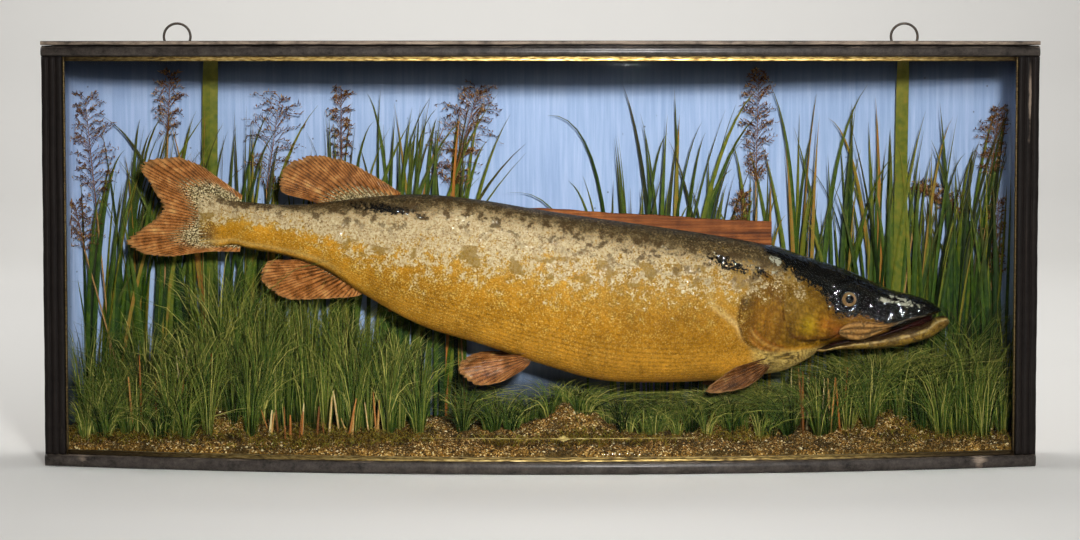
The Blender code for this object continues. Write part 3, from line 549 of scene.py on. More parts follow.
def blue_distemper():
    """Distemper on paper: matt periwinkle blue with upright brush streaks some
    6 mm wide, faint clouds and brown specks of 1 mm. Painted shade darkens it
    nearly to black toward the ceiling, under the lid, and along the foot."""
    material, add, shader = new_finish("blue_distemper_on_paper", Roughness=0.88, IOR=1.4)
    place = add("TexCoord").outputs["Object"]
    drawn = add("Mapping", place, Scale=(170.0, 170.0, 7.0))
    streak = add("TexNoise", drawn, Scale=1.0, Detail=4.0, Roughness=0.6)
    cloud = add("TexNoise", place, Scale=5.0, Detail=3.0)
    paint = add("ValToRGB", streak, stops=((0.3, "#92a5cd"), (0.5, "#a3b3d9"), (0.72, "#b6c2e5")))
    smoke = add("MapRange", cloud, 0.4, 0.75, To_Max=0.3)
    smoked_and_shaded = add("MixRGB", smoke, paint, "#7f93b8")
    up = add("SeparateXYZ", place).outputs["Z"]
    # Painted shade: the top of the lining darkened nearly to black, as the band of shadow under the lid.
    painted_shade_under_lid = add("MapRange", up, 0.455, 0.52, To_Max=0.9, interpolation_type="SMOOTHSTEP")
    smoked_and_shaded = add("MixRGB", painted_shade_under_lid, smoked_and_shaded, "#1b1a1d")
    # Painted shadow: the foot of the lining darkened, under the fish and the plants.
    painted_shade_at_foot = add("MapRange", up, 0.09, 0.14, 0.85, 0.0)
    smoked_and_shaded = add("MixRGB", painted_shade_at_foot, smoked_and_shaded, "#23241d")
    spot = add("TexVoronoi", place, Scale=36.0)
    speck = add("MapRange", spot, 0.035, 0.055, 0.7, 0.0)
    final = add("MixRGB", speck, smoked_and_shaded, "#54504f")
    relief = add("Bump", Height=streak, Strength=0.25, Distance=0.0004)
    add(shader, Base_Color=final, Normal=relief)
    return material


back_low, back_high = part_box("case_back")
cove = 0.03
end_x = 0.619 - 0.0006
back_y = back_low.y - 0.0006
front_y = float(bow(end_x)) + 0.014
half_line = np.concatenate((((end_x, front_y), (end_x, back_y - 2.4 * cove)),
    arc((end_x - cove, back_y - cove), (cove, cove), 0, 90, 12)))
plan = np.concatenate((half_line, joined(np.linspace(end_x - 2 * cove, -end_x + 2 * cove, 40), back_y),
    half_line[::-1] * (-1.0, 1.0)))
heights = np.linspace(0.03, back_high.z - 0.0008, 24)
inside = joined(plan[None, :, 0], plan[None, :, 1], heights[:, None])
behind = (inside + 0.0004 * joined(np.clip(inside[..., 0] * 2.0, -1.0, 1.0), np.ones(inside.shape[:2]),
    np.zeros(inside.shape[:2])))
ceiling_x = np.linspace(-end_x, end_x, 60)
ceiling_z = back_high.z - 0.0006
ceiling = along_bow(ceiling_x, ((0.0145, ceiling_z), (0.0145, ceiling_z + 0.0004)),
    ((back_y, ceiling_z + 0.0004), (back_y, ceiling_z)))
make_piece("painted_lining", *gather([slab(inside, behind), tube(ceiling)]), blue_distemper(),
    "painted_board", smooth=False)

# ---------------------------------------------------------------- backing board
# A sawn board stained red-brown stands behind the pike and takes the screws
# that hold it; its planed top edge slopes down toward the head.


def red_stained_board():
    """Softwood under a red-brown water stain: blotchy, with dark grain lines 2 mm
    apart, small knots, and a dry, slightly furry surface."""
    material, add, shader = new_finish("red_stained_board", Roughness=0.62, IOR=1.46)
    place = add("TexCoord").outputs["Object"]
    long = add("Mapping", place, Scale=(9.0, 300.0, 300.0))
    grain = add("TexNoise", long, Scale=1.0, Detail=4.0, Distortion=0.5)
    blotch = add("TexNoise", place, Scale=26.0, Detail=5.0, Roughness=0.65)
    mixed = add("Math", grain, blotch, operation="MULTIPLY")
    stain = add("ValToRGB", mixed, stops=((0.12, "#4a230f"), (0.24, "#80441f"), (0.34, "#a35c2c"),
        (0.46, "#b87742")))
    relief = add("Bump", Height=grain, Strength=0.4, Distance=0.0006)
    add(shader, Base_Color=stain, Normal=relief)
    return material


low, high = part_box("backing_board")
board_x = np.linspace(low.x, high.x, 121)
top_line = (np.interp(board_x, (low.x, high.x), (0.3375, 0.3075))
    + wander(board_x, (0.0005, 0.13, 0.2), (0.0003, 0.037, 1.0)))
board_ring = np.stack([joined(board_x, np.full_like(board_x, y), z)
    for y, z in ((low.y, low.z), (low.y, top_line - 0.0008), (low.y + 0.0008, top_line),
    (high.y - 0.0008, top_line), (high.y, top_line - 0.0008), (high.y, low.z))], 1)
make_piece("stained_board", *tube(board_ring[:, ::-1]), red_stained_board(), "stained_wood",
    ("backing_board",), smooth=False)

# --------------------------------------------------------------------- the pike
# The skin of a large hen pike, filled with tow over a board that lies against
# the stained one. The head is modelled up in wax where it shrank, and the whole
# is painted in oils and varnished. One skin runs from snout to tail root, with
# the lower jaw and the fins set into it; scales lie over it as a coat.

STATIONS = np.array((         # x, back, belly, half width, beam as a share, squareness
    (-0.441, 0.357, 0.2755, 0.0013, 0.5, 2.0), (-0.428, 0.353, 0.275, 0.0032, 0.5, 2.0),
    (-0.412, 0.345, 0.2768, 0.0066, 0.5, 2.0), (-0.398, 0.3395, 0.28, 0.0102, 0.5, 2.0),
    (-0.375, 0.337, 0.275, 0.017, 0.5, 2.0),
    (-0.335, 0.334, 0.268, 0.023, 0.5, 2.1), (-0.285, 0.336, 0.252, 0.029, 0.5, 2.2),
    (-0.23, 0.343, 0.218, 0.037, 0.5, 2.3), (-0.155, 0.347, 0.177, 0.047, 0.52, 2.4),
    (-0.075, 0.3395, 0.152, 0.055, 0.53, 2.4), (0.0, 0.327, 0.127, 0.06, 0.54, 2.4),
    (0.075, 0.316, 0.1065, 0.0625, 0.54, 2.4), (0.15, 0.3055, 0.103, 0.063, 0.54, 2.4),
    (0.215, 0.296, 0.105, 0.061, 0.53, 2.4), (0.262, 0.288, 0.108, 0.057, 0.52, 2.4),
    (0.285, 0.284, 0.113, 0.055, 0.5, 2.4), (0.307, 0.28, 0.116, 0.0525, 0.48, 2.3),
    (0.33, 0.2715, 0.125, 0.0495, 0.44, 2.3), (0.35, 0.265, 0.1365, 0.046, 0.4, 2.2),
    (0.366, 0.26, 0.149, 0.043, 0.36, 2.2), (0.385, 0.254, 0.1555, 0.0405, 0.34, 2.2),
    (0.405, 0.246, 0.1585, 0.038, 0.32, 2.2), (0.43, 0.2345, 0.162, 0.0345, 0.3, 2.2),
    (0.455, 0.224, 0.1715, 0.032, 0.28, 2.2), (0.48, 0.218, 0.181, 0.0295, 0.3, 2.2),
    (0.498, 0.212, 0.188, 0.025, 0.36, 2.2), (0.51, 0.2055, 0.1915, 0.0175, 0.45, 2.1),
    (0.5165, 0.2, 0.1945, 0.0085, 0.5, 2.0), (0.519, 0.198, 0.1962, 0.0025, 0.5, 2.0)))
JAW_STATIONS = np.array(((0.35, 0.15, 0.144, 0.022, 0.5, 2.0), (0.364, 0.151, 0.1432, 0.03, 0.55, 2.2),
    (0.378, 0.1545, 0.1462, 0.033, 0.6, 2.4), (0.4, 0.1595, 0.1468, 0.034, 0.62, 2.6),
    (0.425, 0.164, 0.1472, 0.033, 0.6, 2.8), (0.445, 0.168, 0.1485, 0.0315, 0.6, 2.8),
    (0.465, 0.1732, 0.151, 0.0295, 0.6, 2.8), (0.485, 0.1776, 0.156, 0.0268, 0.6, 2.8),
    (0.5, 0.1822, 0.1605, 0.0225, 0.6, 2.6), (0.51, 0.1868, 0.1652, 0.0185, 0.58, 2.4),
    (0.5185, 0.1893, 0.1702, 0.0138, 0.56, 2.1), (0.525, 0.1888, 0.1758, 0.0088, 0.54, 2.0),
    (0.5285, 0.185, 0.1797, 0.004, 0.5, 2.0)))
FISH_Y = 0.012                # middle plane of the fish
BOARD_Y = 0.0722              # the far flank lies flat here
SKIN_DEPTH = 0.0008           # the skin lies this far inside the solids


def face_kinds(*groups):
    """For each face of several groups of parts, the number of its group."""
    return np.concatenate([np.full(sum(map(len, faces)), kind, np.int32)
        for kind, group in enumerate(groups) for _, faces in group])


def at_station(table, x):
    """Values of a table of stations at x: a cubic between two stations, whose
    slopes there are those of a parabola through each station and its neighbours."""
    places, values = table[:, 0], table[:, 1:]
    slopes = np.gradient(values, places, axis=0)
    i = np.clip(np.searchsorted(places, x) - 1, 0, len(places) - 2)
    step = (places[i + 1] - places[i])[..., None]
    u = (np.asarray(x)[..., None] - places[i][..., None]) / step
    found = (values[i] * (1 + 2 * u) * (1 - u) ** 2 + slopes[i] * step * u * (1 - u) ** 2
        + values[i + 1] * u * u * (3 - 2 * u) + slopes[i + 1] * step * u * u * (u - 1))
    return np.moveaxis(found, -1, 0)


def flesh(x, turn, inset=SKIN_DEPTH, table=STATIONS):
    """Point of the body at x and at an angle round it, from the ridge of the back
    toward the near side: two half superellipses that meet at the beam."""
    x, turn = np.broadcast_arrays(x, turn)
    back, belly, half, beam, square = at_station(table, x)
    level = belly + beam * (back - belly)
    up, out = np.cos(turn), np.sin(turn)
    rise = np.where(up > 0, back - level, level - belly)
    inset = np.minimum(inset, 0.3 * half)
    y = FISH_Y - np.sign(out) * np.abs(out) ** (2 / square) * (half - inset)
    z = level + np.sign(up) * np.abs(up) ** (2 / square) * (rise - inset)
    return joined(x, np.minimum(y, BOARD_Y - inset), z)


def smooth_line(knots, count):
    """Points on a Catmull-Rom curve through the knots."""
    knots = np.asarray(knots, float)
    place = np.linspace(0.0, len(knots) - 1.0, count)
    i = np.minimum(place.astype(int), len(knots) - 2)
    u = (place - i)[:, None]
    before, start = knots[np.maximum(i - 1, 0)], knots[i]
    end, after = knots[i + 1], knots[np.minimum(i + 2, len(knots) - 1)]
    return (0.5 * (2 * start + (end - before) * u + (2 * before - 5 * start + 4 * end - after) * u ** 2
        + (3 * start - before - 3 * end + after) * u ** 3))


def beside(x, z, knots, count=48):
    """Distance of points on the side of the fish from a smooth line, positive to
    the left of its direction, and the share of its length where they are nearest."""
    line = smooth_line(knots, count)
    start, run = line[:-1], np.diff(line, axis=0)
    reach = joined(x.ravel()[:, None] - start[:, 0], z.ravel()[:, None] - start[:, 1])
    share = np.clip((reach * run).sum(-1) / (run ** 2).sum(-1), 0.0, 1.0)
    off = reach - share[..., None] * run
    away = np.hypot(off[..., 0], off[..., 1])
    near = away.argmin(1)
    row = np.arange(len(near))
    side = np.sign(run[near, 0] * reach[row, near, 1] - run[near, 1] * reach[row, near, 0])
    found = side * away[row, near]
    return found.reshape(x.shape), ((near + share[row, near]) / (count - 1)).reshape(x.shape)


def ease(value, start=0.0, end=1.0):
    """Smooth step: three squares less two cubes of the share between start and end."""
    share = np.clip((value - start) / (end - start), 0.0, 1.0)
    return share * share * (3.0 - 2.0 * share)


def laid(tint, shade, share):
    """Tint with a share of a hex colour laid over it."""
    return tint * (1.0 - share[..., None]) + np.array(colour(shade)) * share[..., None]


def hill(distance, width):
    """Bell curve: e to the minus square of distance over width."""
    return np.exp(-(distance / width) ** 2)


# Lines of the head, as x and z on its side. The raised part is to their left.
GILL_EDGE = ((0.2745, 0.254), (0.2722, 0.2503), (0.2689, 0.2272), (0.2601, 0.214), (0.2557, 0.2029),
    (0.254, 0.1896), (0.2568, 0.1764), (0.2601, 0.1665), (0.2711, 0.1543), (0.2887, 0.1431),
    (0.315, 0.137), (0.34, 0.1385))
SHOULDER_EDGE = ((0.215, 0.23), (0.216, 0.217), (0.2205, 0.2073), (0.238, 0.193), (0.2513, 0.1808),
    (0.258, 0.162), (0.268, 0.142), (0.28, 0.125))
COVER_EDGE = ((0.304, 0.25), (0.285, 0.244), (0.274, 0.226), (0.268, 0.203), (0.267, 0.183),
    (0.274, 0.168), (0.29, 0.157), (0.312, 0.153), (0.33, 0.156))
PREOPERCLE = ((0.327, 0.164), (0.3155, 0.1784), (0.3105, 0.195), (0.3097, 0.2153), (0.311, 0.238))
CHEEK_FOOT = ((0.3171, 0.163), (0.3405, 0.161), (0.3576, 0.1612), (0.37, 0.162), (0.379, 0.167),
    (0.384, 0.174))
THROAT_FOLD = ((0.2711, 0.1543), (0.295, 0.148), (0.33, 0.15), (0.362, 0.153))
MAXILLA = ((0.3935, 0.1688), (0.408, 0.1668), (0.43, 0.169), (0.452, 0.176), (0.478, 0.1862),
    (0.503, 0.1935))
BROW = ((0.37, 0.229), (0.386, 0.233), (0.405, 0.2305), (0.425, 0.223), (0.46, 0.214))
SNOUT_STRIPS = (((0.4363, 0.2137), (0.4491, 0.2105), (0.4661, 0.2067), (0.4895, 0.2041)),
    ((0.45, 0.217), (0.4683, 0.2116), (0.488, 0.2046)))
CROWN_LINE = ((0.264, 0.292), (0.2809, 0.2832), (0.2937, 0.2704), (0.3107, 0.2576), (0.3278, 0.245),
    (0.3405, 0.234), (0.3597, 0.2245), (0.3682, 0.214), (0.3735, 0.201), (0.3831, 0.1895),
    (0.3916, 0.1923), (0.4044, 0.194), (0.4193, 0.191), (0.4321, 0.1827), (0.447, 0.178), (0.46, 0.165))
EYE_X, EYE_Z = 0.3955, 0.2135
NOSTRIL = (0.417, 0.213)


def fold(x, z, knots, rise, sharp, reach, groove):
    """An edge of bone: raised to the left of the line and falling off over its
    reach, with a groove just outside it, and faded out toward the line's ends."""
    off, share = beside(x, z, knots)
    ends = ease(share, 0.0, 0.1) * ease(1.0 - share, 0.0, 0.1)
    plate = rise * (0.5 + 0.5 * np.tanh(off / sharp)) * hill(np.maximum(off, 0.0), reach)
    return ends * (plate - groove * hill(off + 1.5 * sharp, 1.3 * sharp))


def creases(x, z):
    """Creases of dried skin: two products of bent sine waves, 8 to 20 mm long."""
    return (np.sin(310.0 * x + 90.0 * z + 4.0 * np.sin(70.0 * z)) * np.sin(420.0 * z - 60.0 * x)
        + 0.8 * np.sin(760.0 * x + 3.0 * np.sin(330.0 * z)) * np.sin(690.0 * z + 3.0 * np.sin(260.0 * x)))


def pleats(off, share):
    """Pleats of the throat: a sine across them, its length 4.2 to 2.6 mm."""
    return np.sin(2.0 * np.pi * off / (0.0042 - 0.0016 * share))


def head_relief(x, z):
    """Height of the head's bones and folds over its plain form, mirrored on both
    sides: gill cover, shoulder, cheek, eye rim, jaw plate, nostril and throat."""
    height = sum(fold(x, z, *line) for line in ((GILL_EDGE, 0.0016, 0.0008, 0.016, 0.0013),
        (SHOULDER_EDGE, 0.0006, 0.001, 0.01, 0.0005), (COVER_EDGE, 0.001, 0.001, 0.02, 0.0006),
        (PREOPERCLE, 0.0006, 0.001, 0.01, 0.0009), (CHEEK_FOOT, 0.0016, 0.0009, 0.014, 0.0022)))
    height += 0.003 * np.exp(-((x - 0.347) / 0.022) ** 2 - ((z - 0.19) / 0.017) ** 2)
    off, share = beside(x, z, THROAT_FOLD)
    fan = (ease(share, 0.0, 0.12) * ease(1.0 - share, 0.0, 0.25) * ease(-off, 0.0, 0.003)
        * ease(0.024 + off, 0.0, 0.006))
    height += fan * 0.0013 * pleats(off, share)
    off, share = beside(x, z, MAXILLA)
    half = 0.0066 - 0.0038 * share
    plate = ease(half - np.abs(off), -0.0006, 0.0012) * ease(1.0 - share, 0.0, 0.2)
    height += (plate * (0.0019 - 0.001 * (off / half) ** 2 + 0.00035
        * np.sin(2.0 * np.pi * off / 0.003 + 3.0 * share)))
    height -= 0.001 * hill(np.abs(off) - half - 0.0009, 0.0008) * ease(1.0 - share, 0.1, 0.5) * (off > 0)
    around = np.hypot(x - EYE_X, z - EYE_Z)
    height += 0.0016 * hill(around - 0.0135, 0.0024) - 0.009 * ease(0.0108 - around, 0.0, 0.0014)
    off, share = beside(x, z, BROW)
    height += 0.0016 * hill(off, 0.0028) * ease(share, 0.0, 0.2) * ease(1.0 - share, 0.0, 0.4)
    pit = np.hypot(x - NOSTRIL[0], z - NOSTRIL[1])
    height += 0.001 * hill(pit - 0.0032, 0.0011) - 0.0022 * hill(pit, 0.0019)
    for strip in SNOUT_STRIPS:
        height += 0.0006 * hill(beside(x, z, strip)[0], 0.0018)
    return height + 0.00022 * creases(x, z) * ease(x, 0.26, 0.3)


def paint(x, z):
    """Where each colour of the pike lies. Four fields are positive inside their
    colour and fall through zero at its edge: the dark back and the cream band, by
    the share of the depth; the black crown and the pale strips, in metres. The
    tint is the ground colour under them, blended from place to place."""
    back, belly = at_station(STATIONS, np.clip(x, -0.44, 0.515))[:2]
    low = (back - z) / (back - belly)
    dark = (np.interp(x, (-0.44, -0.4, -0.34, -0.32, -0.25, -0.15, -0.12, -0.02, 0.08, 0.21, 0.3, 0.33),
        (0.08, 0.1, 0.06, 0.12, 0.17, 0.15, 0.09, 0.08, 0.11, 0.15, 0.19, 0.18)) - low)
    cream = (np.interp(x, (-0.44, -0.425, -0.405, -0.38, -0.34, -0.28, -0.2, -0.09, 0.08, 0.21, 0.25,
        0.28, 0.31, 0.34, 0.358, 0.37), (0.52, 0.46, 0.38, 0.32, 0.38, 0.5, 0.54, 0.4, 0.33, 0.29, 0.28,
        0.24, 0.22, 0.18, 0.1, -0.05)) - low)
    crown = np.full(x.shape, -0.05)
    pale = np.full(x.shape, -0.05)
    tint = laid(np.array(colour("#b07d27")), "#a87118", ease(low, 0.35, 0.6))
    tint = laid(tint, "#bf8428", ease(low, 0.65, 0.95))
    # Painted light: the rear of the body is painted up to 18 % lighter, for light falling on the tail.
    tint = tint * (1.0 + 0.18 * ease(-0.18 - x, 0.0, 0.12)[..., None])
    row = np.arcsin(np.clip(2.0 * low - 1.0, 0.0, 0.97)) + 0.02 * np.sin(31.0 * x)
    lined = (hill(row / 0.075 - np.round(row / 0.075), 0.22) * ease(low, 0.58, 0.8)
        * ease(0.26 - x, 0.0, 0.05))
    tint = tint * (1.0 - 0.4 * lined[..., None])
    tint = tint * (1.0 - 0.2 * (ease(x, 0.02, 0.14) * (1.0 - ease(low, 0.7, 0.92)))[..., None])

    def lay(shade, where):
        nonlocal tint
        tint = laid(tint, shade, where)

    lay("#6b4a22", ease(-0.408 - x, 0.0, 0.02))
    lay("#d0ac68", 0.5 * hill(low - 0.86, 0.035) * ease(-0.24 - x, 0.0, 0.05))
    # Painted shadow: a dark line along the lower edge of the tail root.
    lay("#2e2110", 0.85 * ease(low, 0.91, 0.97) * ease(-0.22 - x, 0.0, 0.05))
    ahead = x > 0.19
    if ahead.any():

        def by_line(knots, rest):
            """Distance from a line of the head and share along it, and rest elsewhere."""
            found = np.full((2,) + x.shape, rest)
            found[:, ahead] = beside(x[ahead], z[ahead], knots)
            return found

        crown, share = by_line(CROWN_LINE, -0.05)
        crown = np.where(ahead & (share <= 0) & (x < 0.27), -0.03, crown)
        gill_off, gill_share = by_line(GILL_EDGE, -0.1)
        throat, fan_share = by_line(THROAT_FOLD, 0.0)
        lip_off, foot, bone, shoulder = (by_line(knots, 1.0)[0] for knots in (MAXILLA, CHEEK_FOOT,
            PREOPERCLE, SHOULDER_EDGE))
        lay("#d2b27a", 0.55 * hill(shoulder, 0.0035) * ease(0.232 - z, 0.0, 0.02) * ease(z, 0.15, 0.19))
        lay("#66400a", ease(gill_off, -0.001, 0.003) * ease(0.312 - x, -0.004, 0.004))
        lay("#845411", 0.8 * hill(np.hypot(x - 0.29, (z - 0.19) / 1.3), 0.015))
        for inward, shade in ((0.0045, "#b2722c"), (0.0088, "#8a5118"), (0.0125, "#b98742"),
                (0.0165, "#95561b")):
            lay(shade, 0.75 * hill(gill_off - inward, 0.0016) * ease(0.184 - z, 0.0, 0.012)
                * ease(0.33 - x, 0.0, 0.02) * ease(x, 0.262, 0.272))
        lay("#4b3a18", 0.8 * hill(np.hypot((x - 0.262) / 1.2, z - 0.213), 0.008))
        lay("#604007", ease(x, 0.306, 0.316) * ease(z, 0.148, 0.158))
        lay("#7c580e", 0.7 * hill(np.hypot(x - 0.328, z - 0.208), 0.015))
        lay("#5a3110", 0.7 * hill(foot - 0.004, 0.004) * ease(x, 0.315, 0.325)
            * ease(0.38 - x, 0.0, 0.01))
        lay("#957610", 0.9 * hill(np.hypot(x - 0.3448, z - 0.1815), 0.011))
        lay("#93541a", 0.7 * hill(np.hypot((x - 0.366) / 1.2, z - 0.182), 0.011))
        lay("#4e2a0e", 0.75 * hill(bone, 0.0016) * ease(0.225 - z, 0.0, 0.01))
        # Painted shade in the groove behind the gill cover's edge.
        lay("#4a2c0e", 0.85 * hill(gill_off + 0.001, 0.0022) * ease(gill_share, 0.1, 0.3))
        # Painted shadow along the lower rim of the cheek.
        lay("#2c1a0a", 0.9 * hill(foot, 0.0024) * ease(x, 0.32, 0.345) * ease(0.386 - x, 0.0, 0.006))
        inside_fan = (ease(-throat, -0.001, 0.003) * ease(x, 0.262, 0.285) * ease(0.168 - z, 0.0, 0.006)
            * ease(0.375 - x, 0.0, 0.01))
        lay("#c2a05a", inside_fan)
        # Painted shade: dark lines in the troughs of the throat pleats.
        lines = 0.5 - 0.5 * pleats(throat, fan_share)
        lay("#33220b", 0.95 * inside_fan * lines ** 3 * ease(0.026 + throat, 0.0, 0.006))
        # Painted shade in the troughs of the skin creases and painted highlight on their ridges.
        crease = creases(x, z)
        lay("#3f280c", 0.55 * ease(-crease, 0.2, 1.3) * ease(x, 0.262, 0.28))
        lay("#a97c22", 0.45 * ease(crease, 0.3, 1.3) * ease(x, 0.262, 0.28) * ease(0.385 - x, 0.0, 0.02))
        lay("#7a3b18", 0.8 * hill(np.hypot(x - 0.384, z - 0.172), 0.009))
        lay("#7d541e", ease(x, 0.387, 0.397) * ease(0.1955 - z, 0.0, 0.006))
        lay("#4a2b10", 0.7 * (0.5 + 0.5 * np.sin(2.0 * np.pi * lip_off / 0.0042)) ** 2
            * ease(x, 0.388, 0.398) * ease(0.1955 - z, 0.0, 0.006))
        lay("#1d1410", ease(x, 0.44, 0.452))
        pale = np.maximum.reduce([wide - np.abs(by_line(strip, 1.0)[0]) - thin * ease(x, 0.45, 0.49)
            for strip, wide, thin in zip(SNOUT_STRIPS, (0.0013, 0.0007), (0.0007, 0.0))])
        for spot_x, spot_z, spot_size in ((0.2965, 0.2655, 0.0028), (0.304, 0.2622, 0.0036),
                (0.2985, 0.249, 0.0016)):
            pale = np.maximum(pale, spot_size - np.hypot((x - spot_x) / 1.35, z - spot_z))
    for patch_x, patch_z, long, tall, slope in ((-0.2, 0.329, 0.045, 0.006, -0.14),
            (0.243, 0.2585, 0.028, 0.0085, -0.3), (0.285, 0.248, 0.012, 0.0045, -0.5)):
        across = (z - patch_z - slope * (x - patch_x)) / tall
        crown = np.maximum(crown, 0.003 - 0.0045 * (((x - patch_x) / long) ** 2 + across ** 2))
    rubbed = 1.0 - 0.35 * ease(x, 0.02, 0.16) - 0.5 * ease(x, 0.25, 0.275)
    return {"dark": dark, "cream": cream, "crown": crown, "pale": pale, "rubbed": rubbed}, tint


def plain_paint(tint, crown=-0.2):
    """The same fields and tint for a part painted without the body's markings."""
    level = np.full(tint.shape[:-1], -0.2)
    return {"dark": level + 0.11, "cream": level - 0.4, "crown": 0.0 * level + crown, "pale": level,
        "rubbed": 0.0 * level}, tint


def oil_painted_skin():
    """Dried fish skin, painted in oils and varnished: olive-brown back, a cream band
    peppered with brown, golden flanks, and a black crown with bare glints. Edges of
    the colours break up in blotches of 12 mm and flecks of 2 to 3 mm. The varnish is
    hard and uneven, and shows as many small glints."""
    material, add, shader = new_finish("oil_painted_pike_skin", IOR=1.5, Specular_IOR_Level=0.05,
        Coat_Weight=0.42, Coat_Roughness=0.04, Coat_IOR=1.5)
    place = add("TexCoord").outputs["Object"]
    blotch = add("TexNoise", place, Scale=80.0, Detail=5.0, Roughness=0.62)
    fleck = add("TexNoise", place, Scale=340.0, Detail=3.0, Roughness=0.6, Distortion=0.8)
    broad = add("TexNoise", place, Scale=24.0, Detail=2.0)
    dots = add("TexVoronoi", place, Scale=260.0, Randomness=1.0)
    dark, cream, crown, pale, rubbed, rim, tone = (add("Attribute", attribute_name=name).outputs["Fac"]
        for name in ("dark", "cream", "crown", "pale", "rubbed", "rim", "tone"))
    tint = add("Attribute", attribute_name="tint").outputs["Color"]

    def broken(field, by_blotch, by_fleck, soft):
        """Field plus both noises about their middles, as a mask across a soft edge."""
        first = add("Math", blotch, by_blotch, -0.5 * by_blotch, operation="MULTIPLY_ADD")
        second = add("Math", fleck, by_fleck, first, operation="MULTIPLY_ADD")
        total = add("Math", second, field)
        return add("MapRange", total, 0.5 * by_fleck - soft, 0.5 * by_fleck + soft)

    shade = add("MapRange", fleck, 0.3, 0.7, 0.58, 1.34)
    clouded = add("MapRange", broad, 0.3, 0.7, 0.8, 1.2)
    both = add("Math", shade, clouded, operation="MULTIPLY")
    toned = add("Math", both, tone)
    ground = add("VectorMath", tint, Scale=toned, operation="SCALE")
    olive = broken(add("Math", cream, 0.12).outputs[0], 1.7, 0.5, 0.05)
    olive_part = add("MapRange", olive, 0.0, 1.0, To_Max=0.55)
    ground = add("MixRGB", olive_part, ground, "#7a5a18")
    grain = add("TexNoise", place, Scale=560.0, Detail=1.0, Distortion=0.5)
    worn = add("Math", blotch, 0.5, grain, operation="MULTIPLY_ADD")
    worn_here = add("Math", cream, 0.22, worn, operation="MULTIPLY_ADD")
    sprinkled = add("MapRange", worn_here, 0.76, 0.86, To_Max=0.75)
    sprinkled = add("Math", sprinkled, rubbed, operation="MULTIPLY")
    ground = add("MixRGB", sprinkled, ground, "#d9ad58")
    patches = add("TexNoise", place, Scale=42.0, Detail=3.0)
    at_border = add("Math", cream, 0.015, 0.075, operation="COMPARE")
    smudge = add("MapRange", patches, 0.53, 0.57, To_Max=0.8)
    smudged = add("Math", smudge, at_border, operation="MULTIPLY")
    band = broken(cream, 1.05, 0.85, 0.05)
    pepper = add("ValToRGB", fleck, stops=((0.3, "#7d5c36"), (0.42, "#a3845c"), (0.5, "#b99e77"),
        (0.72, "#d6c09a")))
    creamed = add("MixRGB", band, ground, pepper)
    creamed = add("MixRGB", smudged, creamed, "#87662a")
    ridge = broken(dark, 0.3, 0.45, 0.03)
    umber = add("ValToRGB", fleck, stops=((0.3, "#15110c"), (0.46, "#3b2f1d"), (0.58, "#675233"),
        (0.7, "#a38c66")))
    backed = add("MixRGB", ridge, creamed, umber)
    near_band = add("MapRange", cream, -0.18, 0.04)
    near_ridge = add("MapRange", dark, -0.22, -0.06)
    stained = add("MapRange", blotch, 0.52, 0.58, To_Max=0.8)
    stained_part = add("Math", stained, near_ridge, operation="MULTIPLY")
    backed = add("MixRGB", stained_part, backed, "#4c3820")
    dot = add("MapRange", dots.outputs["Distance"], 0.16, 0.24, 1.0, 0.0)
    some = add("SeparateXYZ", dots.outputs["Color"])
    few = add("MapRange", some.outputs["X"], 0.55, 0.65, To_Max=0.8)
    dotted = add("Math", dot, few, operation="MULTIPLY")
    speckle = add("Math", dotted, near_band, operation="MULTIPLY")
    speckled = add("MixRGB", speckle, backed, "#4a3219")
    cap = broken(crown, 0.02, 0.034, 0.0012)
    black = add("ValToRGB", blotch, stops=((0.35, "#050403"), (0.58, "#0d0a06"), (0.74, "#292113")))
    capped = add("MixRGB", cap, speckled, black)
    strips = broken(pale, 0.006, 0.014, 0.0004)
    stripped = add("MixRGB", strips, capped, "#a39c8a")
    edge = add("Math", rim, 4.0, operation="POWER")
    edge_part = add("Math", edge, 0.08, operation="MULTIPLY")
    final = add("MixRGB", edge_part, stripped, "#5e3f16")
    gloss = add("MapRange", blotch, 0.35, 0.7, 0.45, 0.65)
    pores = add("TexVoronoi", place, Scale=330.0, Randomness=0.9)
    grit = add("Math", pores, fleck)
    relief = add("Bump", Height=grit, Strength=0.5, Distance=0.0007)
    glazed = add("Math", cap, 0.75, 0.1, operation="MULTIPLY_ADD")
    runs = add("TexNoise", place, Scale=150.0, Detail=1.0, Roughness=0.4)
    ripple = add("Bump", Height=runs, Strength=1.0, Distance=0.0018)
    add(shader, Base_Color=final, Roughness=gloss, Normal=relief, Coat_Weight=glazed, Coat_Normal=ripple)
    return material


def skin_at(x, turn):
    """Point and outward normal of the finished skin at x and an angle: the plain
    form, and on the head its relief, which fades out toward back and belly."""
    x, turn = np.broadcast_arrays(x, turn)
    plain = flesh(x, turn)
    along = flesh(x + 0.0004, turn) - flesh(x - 0.0004, turn)
    around = flesh(x, turn + 0.004) - flesh(x, turn - 0.004)
    normal = np.cross(around, along)
    normal /= np.maximum(np.linalg.norm(normal, axis=-1, keepdims=True), 1e-12)
    height = np.zeros(x.shape)
    head = x > 0.205
    height[head] = head_relief(x[head], plain[head][:, 2]) * ease(np.abs(normal[head][:, 1]), 0.1, 0.55)
    return plain + normal * height[..., None], normal


body_x = np.concatenate((np.linspace(-0.441, 0.212, 90), np.linspace(0.212, 0.506, 245)[1:],
    0.506 + 0.0128 * np.sin(0.5 * np.pi * np.linspace(0.0, 1.0, 18)[1:])))
turn = full_turn(160)
body, _ = skin_at(body_x[:, None], turn[None, :])
parts = [tube(body)]
painted = [paint(body[..., 0], body[..., 2])]

# The lower jaw is one trough-shaped bone with a thick, lumpy lip.

